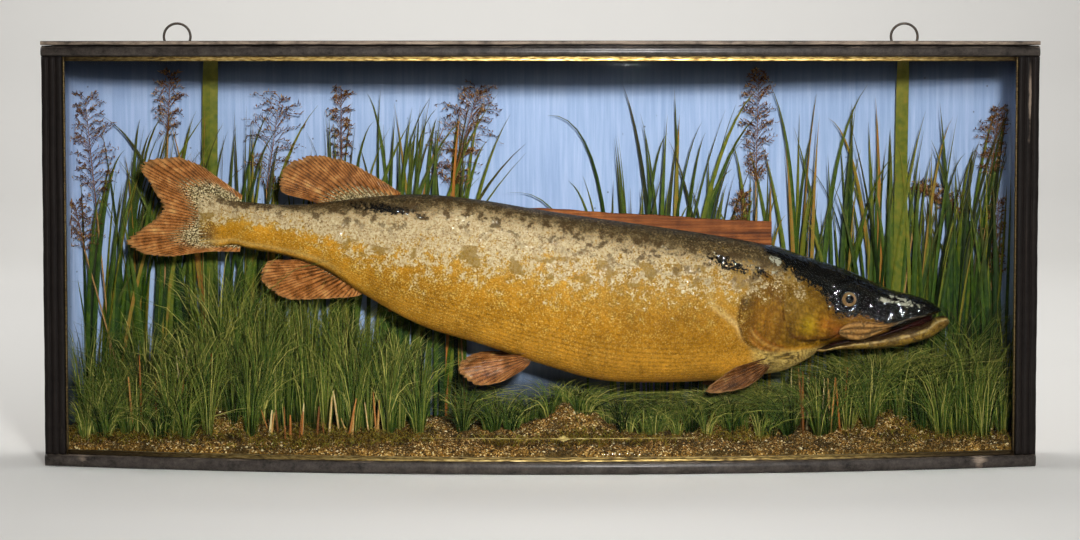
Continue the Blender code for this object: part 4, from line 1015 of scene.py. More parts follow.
jaw_x = np.concatenate((np.linspace(0.35, 0.516, 96), 0.516 + 0.0122
    * np.sin(0.5 * np.pi * np.linspace(0.0, 1.0, 16)[1:])))
jaw_turn = full_turn(64)
jaw = flesh(jaw_x[:, None], jaw_turn[None, :], 0.0002, JAW_STATIONS)
lumps = (0.0008 * np.sin(240.0 * jaw[..., 0] + 3.0 * np.sin(90.0 * jaw[..., 2]))
    * np.sin(300.0 * jaw[..., 2] + 140.0 * jaw[..., 1]) + 0.001 * np.sin(2.0 * np.pi * jaw[..., 0]
    / 0.013) * hill(jaw_turn[None, :] % np.pi - 0.9, 0.5))
out = jaw - jaw.mean(1, keepdims=True)
out /= np.linalg.norm(out, axis=-1, keepdims=True)
jaw = jaw + out * (lumps * ease(jaw_x, 0.37, 0.4)[:, None])[..., None]
parts.append(tube(jaw))
jaw_level = ease((jaw[..., 2] - jaw[..., 2].min(1, keepdims=True))
    / np.ptp(jaw[..., 2], axis=1, keepdims=True))
ruddy = (0.5 + 0.5 * np.sin(150.0 * jaw[..., 0] + 40.0 * jaw[..., 1])) * hill(jaw_level - 0.55, 0.3)
streak = np.sin(420.0 * jaw[..., 2] + 7.0 * np.sin(34.0 * jaw[..., 0])
    + 3.0 * np.sin(210.0 * jaw[..., 0]))
streak = ease(streak + 0.6 * np.sin(530.0 * jaw[..., 0] + 5.0 * np.sin(160.0 * jaw[..., 2])), 0.55, 1.15)
# Painted shade darkens the top of the jaw, in the gap of the mouth, and a painted highlight runs along
# the lip just below it.
lip_edge = 0.74 + 0.2 * ease(jaw_x, 0.49, 0.51)[:, None] + 0.03 * np.sin(300.0 * jaw_x)[:, None]
painted_lip_highlight = 0.55 * hill(jaw_level - lip_edge + 0.09, 0.06)
painted_gap_shade = 0.92 * ease(jaw_level - lip_edge, 0.0, 0.08)
jaw_shade = np.array(colour("#7d5f20"))
for shade, share in (("#a98640", jaw_level), ("#5e3318", 0.6 * ruddy), ("#41240e", 0.7 * streak),
        ("#d8bb8a", painted_lip_highlight), ("#2a140d", painted_gap_shade)):
    jaw_shade = laid(jaw_shade, shade, share)
painted.append(plain_paint(jaw_shade))

# A flat upper jaw bone lies over each side of the mouth, down to the lower lip.

PLATE_LOW = ((0.3822, 0.1705), (0.3845, 0.1668), (0.3938, 0.1628), (0.4044, 0.161), (0.4172, 0.1626),
    (0.4299, 0.168), (0.4427, 0.1742), (0.4555, 0.1788), (0.4725, 0.1853), (0.496, 0.1912))
PLATE_TOP = ((0.3822, 0.1712), (0.3845, 0.1765), (0.3938, 0.182), (0.4044, 0.185), (0.4172, 0.185),
    (0.4299, 0.1838), (0.4427, 0.1818), (0.4555, 0.1836), (0.4725, 0.1885), (0.496, 0.193))
plate_x = np.linspace(PLATE_LOW[0][0], PLATE_LOW[-1][0], 56)
plate_low, plate_top = (np.interp(plate_x, *smooth_line(knots, 60).T) for knots in (PLATE_LOW, PLATE_TOP))
share = np.linspace(0.0, 1.0, 18)[None, :]
plate_z = plate_low[:, None] + (plate_top - plate_low)[:, None] * share
plate_out = (at_station(STATIONS, plate_x)[2][:, None] * (0.9 + 0.085 * ease(share))
    + 0.0014 * np.sin(np.pi * share) + 0.00035 * np.sin(6.0 * np.pi * share + 60.0 * plate_x[:, None]))
streak = (0.5 + 0.5 * np.sin(6.0 * np.pi * share + 60.0 * plate_x[:, None] + 2.6)) ** 2
plate_shade = laid(np.array(colour("#9c6f3c")), "#3a1f0c", 0.85 * streak)
plate_shade = laid(plate_shade, "#4e463a", ease(plate_x, 0.445, 0.462)[:, None])
for sign in (1.0, -1.0):
    outside, inside = (joined(plate_x[:, None], FISH_Y - sign * (plate_out - depth), plate_z)
        for depth in (0.0, 0.0022))
    parts.append(slab(outside, inside))
    painted.append(plain_paint(np.broadcast_to(plate_shade, (2,) + plate_z.shape + (4,))))

# Skin rolled up round each eye covers the edge of the glass.

for sign in (1.0, -1.0):
    circle = full_turn(56)
    lid_x, lid_z = EYE_X + 0.0105 * np.cos(circle), EYE_Z + 0.0105 * np.sin(circle)
    lid_y = FISH_Y - sign * (0.0372 - 0.1 * (lid_x - EYE_X) - 0.06 * (lid_z - EYE_Z))
    eyelid = wire(joined(lid_x, lid_y, lid_z), 0.0015 + 0.0003 * np.sin(3.0 * circle), 12, closed=True)
    parts.append(tube(eyelid, looped=True))
    painted.append(plain_paint(np.broadcast_to(colour("#1d1710"), eyelid.shape[:2] + (4,)), 0.1))


# Fins were set up wet between cards: stiff rays that fork halfway out, with thin
# web between, brittle along the margin.


def fin(root, margin, rays, steps, side=0.0, flare=0.0):
    """A fin as two faces from its root line to a smooth margin. Thickness falls
    from root to edge and swells on each ray; the rays double halfway out, and the
    margin is nicked between them. side and flare set it off the middle plane."""
    columns = rays * 8
    rim = smooth_line(margin, columns + 1)
    across = np.linspace(0.0, 1.0, columns + 1)[None, :]
    base = np.array(root[0]) * (1.0 - across[..., None]) + np.array(root[1]) * across[..., None]
    out = np.linspace(0.0, 1.0, steps + 1)[:, None]
    bent = across + 0.006 * np.sin(9.0 * across + 3.0 * out)
    single, double = np.cos(2.0 * np.pi * rays * bent), np.cos(4.0 * np.pi * rays * bent)
    fork = ease(out, 0.35, 0.6)
    ray = single * (1.0 - fork) + double * fork
    nick = (0.016 * (1.0 - double) * ease(out, 0.7, 1.0) * (1.0 + np.sin(23.0 * across)
        * np.sin(61.0 * across)))
    spot = base + (rim - base) * (out * (1.0 - nick))[..., None]
    thick = (0.0062 * (1.0 - out) ** 1.6 + 0.0014) * (0.55 + 0.45 * ray)
    wave = 0.0016 * np.sin(7.0 * across + 2.0 * out) * out
    away = side + np.sign(side) * flare * out + wave
    faces = [joined(spot[..., 0], FISH_Y - away - face * 0.5 * thick, spot[..., 1])
        for face in (1.0, -1.0)]
    shade = joined(across, out)
    return slab(*faces), np.concatenate((shade.reshape(-1, 2), shade.reshape(-1, 2))), ray


CAUDAL = (((-0.386, 0.333), (-0.386, 0.284)), ((-0.384, 0.346), (-0.412, 0.366), (-0.445, 0.388),
    (-0.478, 0.395), (-0.517, 0.386), (-0.504, 0.36), (-0.489, 0.329), (-0.505, 0.309), (-0.536, 0.286),
    (-0.512, 0.27), (-0.478, 0.266), (-0.433, 0.272), (-0.388, 0.272)))
DORSAL = (((-0.18, 0.34), (-0.285, 0.328)), ((-0.18, 0.349), (-0.206, 0.366), (-0.236, 0.383),
    (-0.268, 0.395), (-0.3, 0.3965), (-0.326, 0.386), (-0.337, 0.364), (-0.331, 0.348), (-0.305, 0.342),
    (-0.285, 0.336)))
ANAL = (((-0.226, 0.23), (-0.3, 0.268)), ((-0.228, 0.218), (-0.246, 0.213), (-0.284, 0.211),
    (-0.323, 0.21), (-0.349, 0.222), (-0.362, 0.24), (-0.352, 0.26), (-0.325, 0.262), (-0.302, 0.26)))
PELVIC = (((-0.006, 0.143), (-0.012, 0.133)), ((-0.01, 0.145), (-0.045, 0.1415), (-0.082, 0.139),
    (-0.105, 0.1255), (-0.098, 0.112), (-0.078, 0.102), (-0.05, 0.107), (-0.024, 0.121), (-0.014, 0.129)))
PECTORAL = (((0.296, 0.139), (0.294, 0.127)), ((0.288, 0.1395), (0.27, 0.134), (0.248, 0.1265),
    (0.226, 0.111), (0.211, 0.096), (0.232, 0.0945), (0.258, 0.1), (0.275, 0.109), (0.29, 0.1225)))


def dried_fin():
    """Dried fin, tinted russet and varnished: dark rays every 6 to 8 mm with paler
    web between, painted highlight lines on the web, brown blotches of 15 mm,
    straw-coloured nicks at the margin."""
    material, add, shader = new_finish("dried_russet_fin", IOR=1.5, Specular_IOR_Level=0.04,
        Coat_Weight=0.08, Coat_Roughness=0.08)
    place = add("TexCoord").outputs["Object"]
    blotch = add("TexNoise", place, Scale=75.0, Detail=4.0, Roughness=0.6)
    fleck = add("TexNoise", place, Scale=520.0, Detail=2.0)
    ray = add("Attribute", attribute_name="ray").outputs["Fac"]
    out = add("Attribute", attribute_name="out").outputs["Fac"]
    web = add("ValToRGB", blotch, stops=((0.32, "#5f3717"), (0.48, "#915627"), (0.6, "#ae713e"),
        (0.72, "#c5955a")))
    speck = add("MapRange", fleck, 0.3, 0.7, -0.25, 0.25)
    lines = add("Math", ray, speck)
    dark = add("MapRange", lines, 0.15, 0.95, To_Max=0.85)
    tone = add("Attribute", attribute_name="tone").outputs["Fac"]
    toned = add("Math", tone, 1.25)
    webbed = add("VectorMath", web, Scale=toned, operation="SCALE")
    rayed = add("MixRGB", dark, webbed, "#30190b")
    # Painted highlight: pale glint lines on the web between the rays.
    painted_glints = add("MapRange", lines, -1.15, -0.8, 0.55, 0.0)
    painted_glints_toned = add("Math", painted_glints, toned, operation="MULTIPLY")
    rayed = add("MixRGB", painted_glints_toned, rayed, "#d09b66")
    straw = add("MapRange", out, 0.9, 1.0, To_Max=0.35)
    edged = add("MixRGB", straw, rayed, "#b98a58")
    scaled = add("Attribute", attribute_name="scaled").outputs["Fac"]
    root = add("Math", fleck, -0.5, scaled, operation="MULTIPLY_ADD")
    scaly = add("MapRange", root, -0.27, -0.23)
    root_paint = add("ValToRGB", fleck, stops=((0.4, "#2d2418"), (0.49, "#80673c"), (0.6, "#d6c19a")))
    final = add("MixRGB", scaly, edged, root_paint)
    gloss = add("MapRange", blotch, To_Min=0.3, To_Max=0.6)
    relief = add("Bump", Height=fleck, Strength=0.3, Distance=0.0004)
    add(shader, Base_Color=final, Roughness=gloss, Normal=relief)
    return material


fin_parts, fin_out, fin_ray, fin_scaled = [], [], [], []
for (root, margin), rays, steps, side, flare, shown in ((CAUDAL, 27, 22, 0.0, 0.0, 0.58),
        (DORSAL, 23, 17, 0.0, 0.0, 0.3), (ANAL, 19, 16, 0.0, 0.0, 0.1),
        (PELVIC, 11, 11, 0.016, 0.016, 0.05), (PELVIC, 11, 11, -0.016, 0.016, 0.05),
        (PECTORAL, 8, 12, 0.034, 0.014, 0.05), (PECTORAL, 8, 12, -0.034, 0.014, 0.05)):
    shell, places, ray = fin(root, margin, rays, steps, side, flare)
    fin_parts.append(shell)
    fin_out.append(places[:, 1])
    fin_scaled.append(shown - places[:, 1] + np.tile(0.1 * ray.ravel(), 2))
    fin_ray += [ray.ravel(), ray.ravel()]

# The mouth is filled with dark red wax behind the lips.

gape_x = np.linspace(0.372, 0.5065, 48)
head_low = at_station(STATIONS, gape_x)[1]
jaw_top, jaw_half = at_station(JAW_STATIONS, gape_x)[[0, 2]]
gape_turn = full_turn(28)
taper = np.sqrt(np.clip(1.0 - ((gape_x - gape_x[0]) / 0.1352) ** 6, 0.02, 1.0))
wax_z = (0.5 * (head_low + jaw_top)[:, None] + (0.5 * (head_low - jaw_top) + 0.0035)[:, None]
    * np.cos(gape_turn))
wax_y = (FISH_Y - (0.66 * jaw_half * taper)[:, None] * np.sign(np.sin(gape_turn))
    * np.abs(np.sin(gape_turn)) ** 0.6)
wax = tube(joined(gape_x[:, None], wax_y, wax_z))
red_wax, add, shader = new_finish("dark_red_mouth_wax", Roughness=0.35, IOR=1.45, Coat_Weight=0.3)
vein = add("TexNoise", add("TexCoord").outputs["Object"], Scale=260.0, Detail=4.0)
add(shader, Base_Color=add("ValToRGB", vein, stops=((0.35, "#0f0504"), (0.6, "#2c0e0b"),
    (0.8, "#4a1a14"))), Normal=add("Bump", Height=vein, Strength=0.5, Distance=0.0006))

points_in = [[len(points) for points, _ in group] for group in (parts, fin_parts, [wax])]
body_count, fin_count, wax_count = map(sum, points_in)
skin_fields = {key: np.concatenate([field[key].ravel() for field, _ in painted]
    + [np.full(fin_count + wax_count, -0.5)]) for key in ("dark", "cream", "crown", "pale", "rubbed")}
skin_fields["tint"] = np.concatenate([tint.reshape(-1, 4) for _, tint in painted]
    + [np.full((fin_count + wax_count, 4), 0.2)])
tones = np.repeat((-0.16, -0.3, -0.18, -0.4, -0.4, -0.8, -0.8), points_in[1])
for key, values in (("tone", tones), ("rim", np.zeros_like(tones)), ("out", np.concatenate(fin_out)),
        ("scaled", np.concatenate(fin_scaled)), ("ray", np.concatenate(fin_ray))):
    skin_fields[key] = np.pad(values, (body_count, wax_count))
oil_paint = oil_painted_skin()
make_piece("pike_skin", *gather(parts + fin_parts + [wax]), (oil_paint, dried_fin(), red_wax),
    "pike_skin", ("tail_root", "trunk_rear", "trunk_front", "head", "lower_jaw", "gill_cover_left",
    "gill_cover_right", "caudal_fin", "dorsal_fin", "anal_fin", "pelvic_fin_left", "pelvic_fin_right",
    "pectoral_fin_left", "pectoral_fin_right"), kinds=face_kinds(parts, fin_parts, [wax]),
    fields=skin_fields)

# ------------------------------------------------------------------ scale coat
# Small round-edged scales, about 150 rows from gill to tail and 62 round the
# body, overlap like slates with their free edges to the tail.

# Places along the body and the pitch of the rows there, then the scales in a row.
PITCH = ((-0.4, -0.25, -0.1, 0.22, 0.3), (0.0032, 0.0044, 0.0056, 0.0056, 0.0046))
AROUND = 62
COAT_END = (    # heights, and how far the coat runs forward there, to the gill and the shoulder
    (0.1, 0.125, 0.14, 0.155, 0.17, 0.1808, 0.193, 0.207, 0.222, 0.24, 0.255, 0.27, 0.29),
    (0.286, 0.279, 0.266, 0.258, 0.25, 0.2455, 0.235, 0.219, 0.23, 0.26, 0.27, 0.282, 0.3))
rows = [-0.431]
while rows[-1] < 0.3:
    rows.append(rows[-1] + float(np.interp(rows[-1], *PITCH)))
rows = np.array(rows)
fine = np.linspace(0.0, 2.0 * np.pi, 361)
ring = flesh(rows[:, None], fine[None, :])
girth = np.concatenate((np.zeros((len(rows), 1)), np.cumsum(np.linalg.norm(np.diff(ring, axis=1),
    axis=-1), 1)), 1)
girth /= girth[:, -1:]
place = (np.arange(AROUND) + 0.5 * (np.arange(len(rows)) % 2)[:, None]) / AROUND
root_turn = np.array([np.interp(share, line, fine) for share, line in zip(place, girth)])
root_x = np.broadcast_to(rows[:, None], root_turn.shape)
root = flesh(root_x, root_turn)
limit = np.interp(root[..., 2], *COAT_END)
kept = (root_x < limit) & (root_x > -0.424 + 0.006 * np.sin(40.0 * root_turn
    + 9.0 * np.sin(7.0 * root_turn)))
root_x, root_turn, limit = root_x[kept], root_turn[kept], limit[kept]
count = root_x.size
chance = np.random.default_rng(7)
jitter = chance.normal(size=(4, count))
pitch = np.interp(root_x, *PITCH)
across = np.array((-0.5, -0.28, 0.0, 0.28, 0.5))
down = np.array((0.0, 0.52, 1.0))
width = np.array((0.72, 1.04, 0.92))
a = np.broadcast_to(across[None, :] * width[:, None], (3, 5))
b = down[:, None] * (1.0 - 0.3 * (2.0 * across[None, :]) ** 2 * (down[:, None] > 0.4))
scale_x = root_x[:, None, None] - b * (1.72 + 0.06 * jitter[0][:, None, None]) * pitch[:, None, None]
spin = 0.05 * jitter[1][:, None, None]
grow = np.gradient(fine) / np.gradient(girth[len(rows) // 2])
speed = np.interp(root_turn % (2.0 * np.pi), fine, grow)
scale_turn = root_turn[:, None, None] + (a + spin * (b - 0.5)) * (speed / AROUND)[:, None, None]
scale_point, scale_normal = skin_at(scale_x, scale_turn)
low_edge = (np.abs(across) > 0.4)[None, :] & (down < 0.9)[:, None]
lift = (np.array((-0.0004, 0.00018, 0.00042))[:, None] - 0.00008 * (2.0 * across[None, :]) ** 2
    - 0.0001 * low_edge)
flat = ease(limit - root_x, 0.0, 0.02) * 0.75 + 0.25
size = np.clip(pitch / max(PITCH[1]), 0.5, 1.0)
rise = lift * (flat * size * (1.0 + 0.12 * jitter[2]))[:, None, None]
scale_point = scale_point + scale_normal * rise[..., None]
cell = np.array([(i * 5 + j, i * 5 + j + 1, i * 5 + j + 6, i * 5 + j + 5) for i in range(2)
    for j in range(4)])
doubled = np.concatenate((np.arange(15), (0, 5, 10, 11, 12, 13, 14, 9, 4, 3, 2, 1)))
free = np.broadcast_to(down[:, None] ** 2, (3, 5))
patch = joined(0.0015 * (1.0 - 2.0 * down[:, None]), 0.003 * across[None, :])
seat = joined(root_x + 0.44, root_turn % (2.0 * np.pi)) * (0.96 / 0.74, 0.96 / (2.0 * np.pi)) + 0.02
for name, chosen in (("scale_coat_rear", root_x < -0.06), ("scale_coat_front", root_x >= -0.06)):
    number = int(chosen.sum())
    first = doubled.size * np.arange(number)[:, None]
    sheet = scale_point[chosen].reshape(number, 15, 3)[:, doubled]
    coat_points, coat_faces = outward(sheet, [(first[:, None] + cell).reshape(-1, 4),
        first + 15 + np.arange(12)])
    coat_fields, coat_tint = paint(coat_points[:, 0], coat_points[:, 2])
    coat_fields["tint"] = coat_tint
    coat_fields["tone"] = np.repeat(0.05 * jitter[3][chosen], doubled.size)
    coat_fields["rim"] = np.tile(free.ravel()[doubled], number)
    make_piece(name, coat_points, coat_faces, oil_paint, "pike_skin", fields=coat_fields,
        maps={"OFBake": seat[chosen][:, None, :] + patch.reshape(15, 2)[doubled]})

# ------------------------------------------------------------------- glass eyes
# Blown glass eyes: a black pupil in a golden-brown iris under clear, bright
# glass, seated 8 mm deep in the wax.


def blown_glass_eye():
    """Painted and glazed eye: black pupil, golden iris with fine radial streaks and
    a dark rim, all under a clear hard gloss."""
    material, add, shader = new_finish("blown_glass_eye", Roughness=0.12, IOR=1.52,
        Specular_IOR_Level=0.15, Coat_Weight=0.6, Coat_Roughness=0.02)
    off = add("Attribute", attribute_name="off").outputs["Fac"]
    place = add("TexCoord").outputs["Object"]
    streak = add("TexNoise", place, Scale=900.0, Detail=2.0)
    blur = add("Math", streak, 0.06, off, operation="MULTIPLY_ADD")
    rings = add("ValToRGB", blur, stops=((0.35, "#020202"), (0.39, "#7d6040"), (0.48, "#6f5232"),
        (0.62, "#83673f"), (0.74, "#2c1c0d"), (0.82, "#0a0705")))
    add(shader, Base_Color=rings)
    return material


eye_glass = blown_glass_eye()
for side, sign in (("right", 1.0), ("left", -1.0)):
    low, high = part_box(f"eye_{side}")
    centre, radius = np.array(low + high) / 2, 0.5 * (high.y - low.y)
    tilt = np.pi * np.linspace(0.0, 1.0, 30)[1:-1, None]
    spin = full_turn(48)
    ball = joined(np.sin(tilt) * np.cos(spin), -sign * np.cos(tilt), np.sin(tilt) * np.sin(spin))
    gaze = np.array((0.06, -sign, 0.07)) / np.linalg.norm((0.06, 1.0, 0.07))
    off = np.arccos(np.clip((ball.reshape(-1, 3) * gaze).sum(-1), -1.0, 1.0)) / (0.5 * np.pi)
    make_piece(f"glass_eye_{side}", *tube(centre + radius * ball), eye_glass, "glass_eye",
        (f"eye_{side}",), fields={"off": off})

# ------------------------------------------------------------------ groundwork
# Plaster laid wet in the foot of the case and modelled into low hummocks, with
# sand and golden gravel pressed in, and dyed moss glued over the swells.


GROUND_BACK = 0.1062          # the plaster ends here, against the lining


def ground_height(x, y):
    """Height of the plaster: a rise to the back, a ripple and five hummocks, all
    roughened by a few waves 9 to 40 mm long."""
    front = bow(x) + 0.0143
    level = 0.027 + 0.02 * (y - front) / (GROUND_BACK - front)
    swell = sum(height * np.exp(-2.0 * ((x - a) ** 2 + 2.2 * (y - b) ** 2) / radius ** 2)
        for a, b, radius, height in ((-0.415, 0.03, 0.075, 0.03), (-0.18, 0.05, 0.06, 0.014),
        (0.04, 0.02, 0.06, 0.032), (0.245, 0.03, 0.06, 0.034), (0.445, 0.02, 0.065, 0.03)))
    rough = sum(share * np.sin(2.0 * np.pi * (math.cos(bearing) * x + math.sin(bearing) * y) / wave
        + 9.0 * bearing) for share, wave, bearing in ((0.0018, 0.041, 0.3), (0.0014, 0.029, 2.2),
        (0.0011, 0.019, 1.2), (0.0008, 0.013, 2.8), (0.0006, 0.0093, 0.8), (0.0006, 0.0097, 1.9)))
    return level + 0.003 * np.sin(19.0 * x + 1.3) * np.sin(40.0 * y + 0.8) + swell + rough


def strands(root, control, end, width, thick, turn, profile, corners=3):
    """Many tapering blades at once, each along the curve pulled from its root to its
    end by a control point. The section is a flat ring of a few corners, as wide as
    the profile says at each step, with its flat turned by an angle about the
    upright. Returns the shell, and the share along and the number of each point."""
    steps = len(profile)
    width, thick, turn = (np.broadcast_to(value, len(root)) for value in (width, thick, turn))
    t = np.linspace(0.0, 1.0, steps)[None, :, None]
    root, control, end = (points[:, None, :] for points in (root, control, end))
    spine = (1 - t) ** 2 * root + 2 * t * (1 - t) * control + t ** 2 * end
    tangent = (1 - t) * (control - root) + t * (end - control)
    tangent /= np.maximum(np.linalg.norm(tangent, axis=-1, keepdims=True), 1e-9)
    flat = joined(np.cos(turn), np.sin(turn), 0.0 * turn)[:, None, :]
    side = flat - (flat * tangent).sum(-1, keepdims=True) * tangent
    side /= np.maximum(np.linalg.norm(side, axis=-1, keepdims=True), 1e-9)
    normal = np.cross(tangent, side)
    angle = 2.0 * np.pi * (np.arange(corners) + 0.25 * (corners == 3)) / corners
    half_width = 0.5 * width[:, None] * np.array(profile)[None, :]
    half_thick = np.minimum(0.5 * thick[:, None], half_width)
    points = (spine[:, :, None, :] + (side * half_width[..., None])[:, :, None, :]
        * np.cos(angle)[:, None] + (normal * half_thick[..., None])[:, :, None, :]
        * np.sin(angle)[:, None])
    count = len(points)
    index = np.arange(points[..., 0].size).reshape(count, steps, corners)
    turned = np.roll(index, -1, axis=2)
    walls = joined(index[:, :-1], turned[:, :-1], turned[:, 1:], index[:, 1:]).reshape(-1, 4)
    shell = outward(points, [walls, np.concatenate((index[:, 0, ::-1], index[:, -1]))])
    shape = (count, steps, corners)
    return shell, np.broadcast_to(t, shape).ravel(), np.broadcast_to(np.arange(count)[:, None, None],
        shape).ravel()


def kept_inside(points):
    """Points pushed back off the pane, the end boards, the back and the ceiling."""
    x = np.clip(points[..., 0], -0.6165, 0.6165)
    y = np.clip(points[..., 1], bow(x) + 0.0155, 0.1045)
    return joined(x, y, np.clip(points[..., 2], 0.0125, 0.5225))


def sand_and_gravel():
    """Sized plaster sown with sand: grains of 1.5 mm from dark brown to cream, and
    stains of brown size and green dye 40 mm across."""
    material, add, shader = new_finish("sand_and_gravel", Roughness=0.85, IOR=1.5)
    place = add("TexCoord").outputs["Object"]
    cell = add("TexVoronoi", place, Scale=620.0)
    pick = add("SeparateXYZ", cell.outputs["Color"])
    grain = add("ValToRGB", pick.outputs["X"], stops=((0.05, "#2c1c08"), (0.35, "#5f4015"),
        (0.65, "#8b6226"), (0.88, "#b98d4a"), (0.97, "#e6cf9c")))
    stain = add("TexNoise", place, Scale=26.0, Detail=5.0, Roughness=0.6)
    part = add("MapRange", stain, 0.46, 0.6, To_Max=0.8)
    final = add("MixRGB", part, grain, "#33250a")
    relief = add("Bump", Height=cell.outputs["Distance"], Strength=0.8, Distance=0.0012, invert=True)
    add(shader, Base_Color=final, Normal=relief)
    return material


def graded(name, stops, roughness, grain, worn):
    """Dried or mineral stuff whose colour goes through the stops by each piece's own
    shade, mottled at a scale in 1/m, and paler toward its far end by a share."""
    material, add, shader = new_finish(name, Roughness=roughness, IOR=1.45)
    place = add("TexCoord").outputs["Object"]
    mottle = add("TexNoise", place, Scale=grain, Detail=3.0)
    shade = add("Attribute", attribute_name="shade").outputs["Fac"]
    along = add("Attribute", attribute_name="along").outputs["Fac"]
    mixed = add("Math", mottle, 0.5, -0.25, operation="MULTIPLY_ADD")
    place_in = add("Math", mixed, shade)
    shaded = add("ValToRGB", place_in, stops=stops)
    tip = add("Math", along, 4.0, operation="POWER")
    tipped = add("Math", tip, worn, operation="MULTIPLY")
    final = add("MixRGB", tipped, shaded, "#9a8049")
    add(shader, Base_Color=final)
    return material


chance = np.random.default_rng(11)
ground_x = np.linspace(-0.6185, 0.6185, 381)
ground_share = np.linspace(0.0, 1.0, 61)[:, None]
ground_front = bow(ground_x) + 0.0146
ground_y = ground_front * (1.0 - ground_share) + GROUND_BACK * ground_share
surface = joined(ground_x, ground_y, ground_height(ground_x, ground_y))
bed = surface * (1.0, 1.0, 0.0) + (0.0, 0.0, 0.0121)
make_piece("sanded_groundwork", *slab(surface, bed), sand_and_gravel(), "groundwork", ("groundwork",))

# Gravel lies thickest along the glass.
many = 4200
stone_x = chance.uniform(-0.612, 0.612, many)
front = bow(stone_x) + 0.017
stone_y = front + (0.1 - front) * chance.random(many) ** 1.9
stone_size = 0.0007 + 0.0013 * chance.random(many) ** 2.5
around = full_turn(5)
pebble = np.concatenate(([(0.0, 0.0, -1.0)], joined(np.cos(around), np.sin(around), -0.42),
    joined(0.9 * np.cos(around + 0.63), 0.9 * np.sin(around + 0.63), 0.42), [(0.0, 0.0, 0.95)]))
spin = chance.uniform(0.0, 6.28, many)[:, None]
knobbly = (pebble[None] * (1.0 + 0.22 * chance.normal(size=(many, 12, 1)).clip(-1.5, 1.5))
    * joined(1.0, chance.uniform(0.6, 1.0, many), chance.uniform(0.55, 0.9, many))[:, None, :])
stones = (stone_size[:, None, None] * joined(knobbly[..., 0] * np.cos(spin)
    - knobbly[..., 1] * np.sin(spin), knobbly[..., 0] * np.sin(spin) + knobbly[..., 1] * np.cos(spin),
    knobbly[..., 2]))
stones += joined(stone_x, stone_y, ground_height(stone_x, stone_y) + 0.3 * stone_size)[:, None, :]
five = np.arange(5)
after = (five + 1) % 5
caps = np.concatenate((joined(0, 1 + after, 1 + five), joined(1 + five, 1 + after, 6 + five),
    joined(1 + after, 6 + after, 6 + five), joined(6 + five, 6 + after, 11)))
make_piece("loose_gravel", *outward(stones, [(12 * np.arange(many)[:, None, None] + caps).reshape(-1,
    3)]), graded("golden_gravel", ((0.0, "#352008"), (0.3, "#6e4a18"), (0.55, "#9b6c2a"),
    (0.8, "#c79a58"), (0.95, "#ead8b0")), 0.6, 900.0, 0.0), "groundwork", smooth=False,
    fields={"shade": np.repeat(chance.random(many), 12)})

# Moss: curled fibres 6 to 14 mm long, densest on the swells and at their feet.
many = 5200
heap = np.array(((-0.47, -0.005, 0.085), (-0.3, -0.02, 0.075), (-0.2, -0.03, 0.055), (-0.56, 0.0, 0.05),
    (-0.05, -0.05, 0.03), (0.055, -0.035, 0.045), (0.14, -0.05, 0.03), (0.245, -0.02, 0.045),
    (0.46, 0.0, 0.07), (0.56, 0.01, 0.045)))
pick = heap[chance.choice(len(heap), many, p=np.array((16, 22, 16, 9, 5, 9, 4, 7, 8, 4)) / 100.0)]
moss_x = np.clip(pick[:, 0] + pick[:, 2] * chance.normal(0.0, 0.62, many), -0.605, 0.605)
moss_y = np.clip(pick[:, 1] + 0.45 * pick[:, 2] * chance.normal(0.0, 0.8, many), bow(moss_x) + 0.022,
    0.09)
moss_root = joined(moss_x, moss_y, ground_height(moss_x, moss_y) - 0.001)
bearing = chance.uniform(0.0, 6.28, many)
length = chance.uniform(0.006, 0.014, many)
moss_end = (moss_root + length[:, None] * joined(0.75 * np.cos(bearing), 0.75 * np.sin(bearing),
    chance.uniform(0.1, 0.9, many)))
moss_mid = (moss_root + length[:, None] * joined(0.1 * np.cos(bearing + 1.0), 0.1 * np.sin(bearing + 1.0),
    chance.uniform(0.5, 1.1, many)))
moss, along, who = strands(kept_inside(moss_root), kept_inside(moss_mid), kept_inside(moss_end), 0.0011,
    0.0007, bearing, (1.0, 1.1, 0.8, 0.3))
make_piece("dyed_moss", *moss, graded("dyed_moss_fibre", ((0.0, "#2b1f07"), (0.35, "#5c4413"),
    (0.6, "#8a661f"), (0.8, "#7c7a25"), (1.0, "#b28c38")), 0.9, 300.0, 0.2), "groundwork",
    fields={"shade": chance.random(many)[who], "along": along})

# ----------------------------------------------------------------------- reeds
# Real reed leaves, dried and dyed green, stand in clumps along the back, with
# brown seed heads among them; each is a thin, folded strap stuck in the plaster.

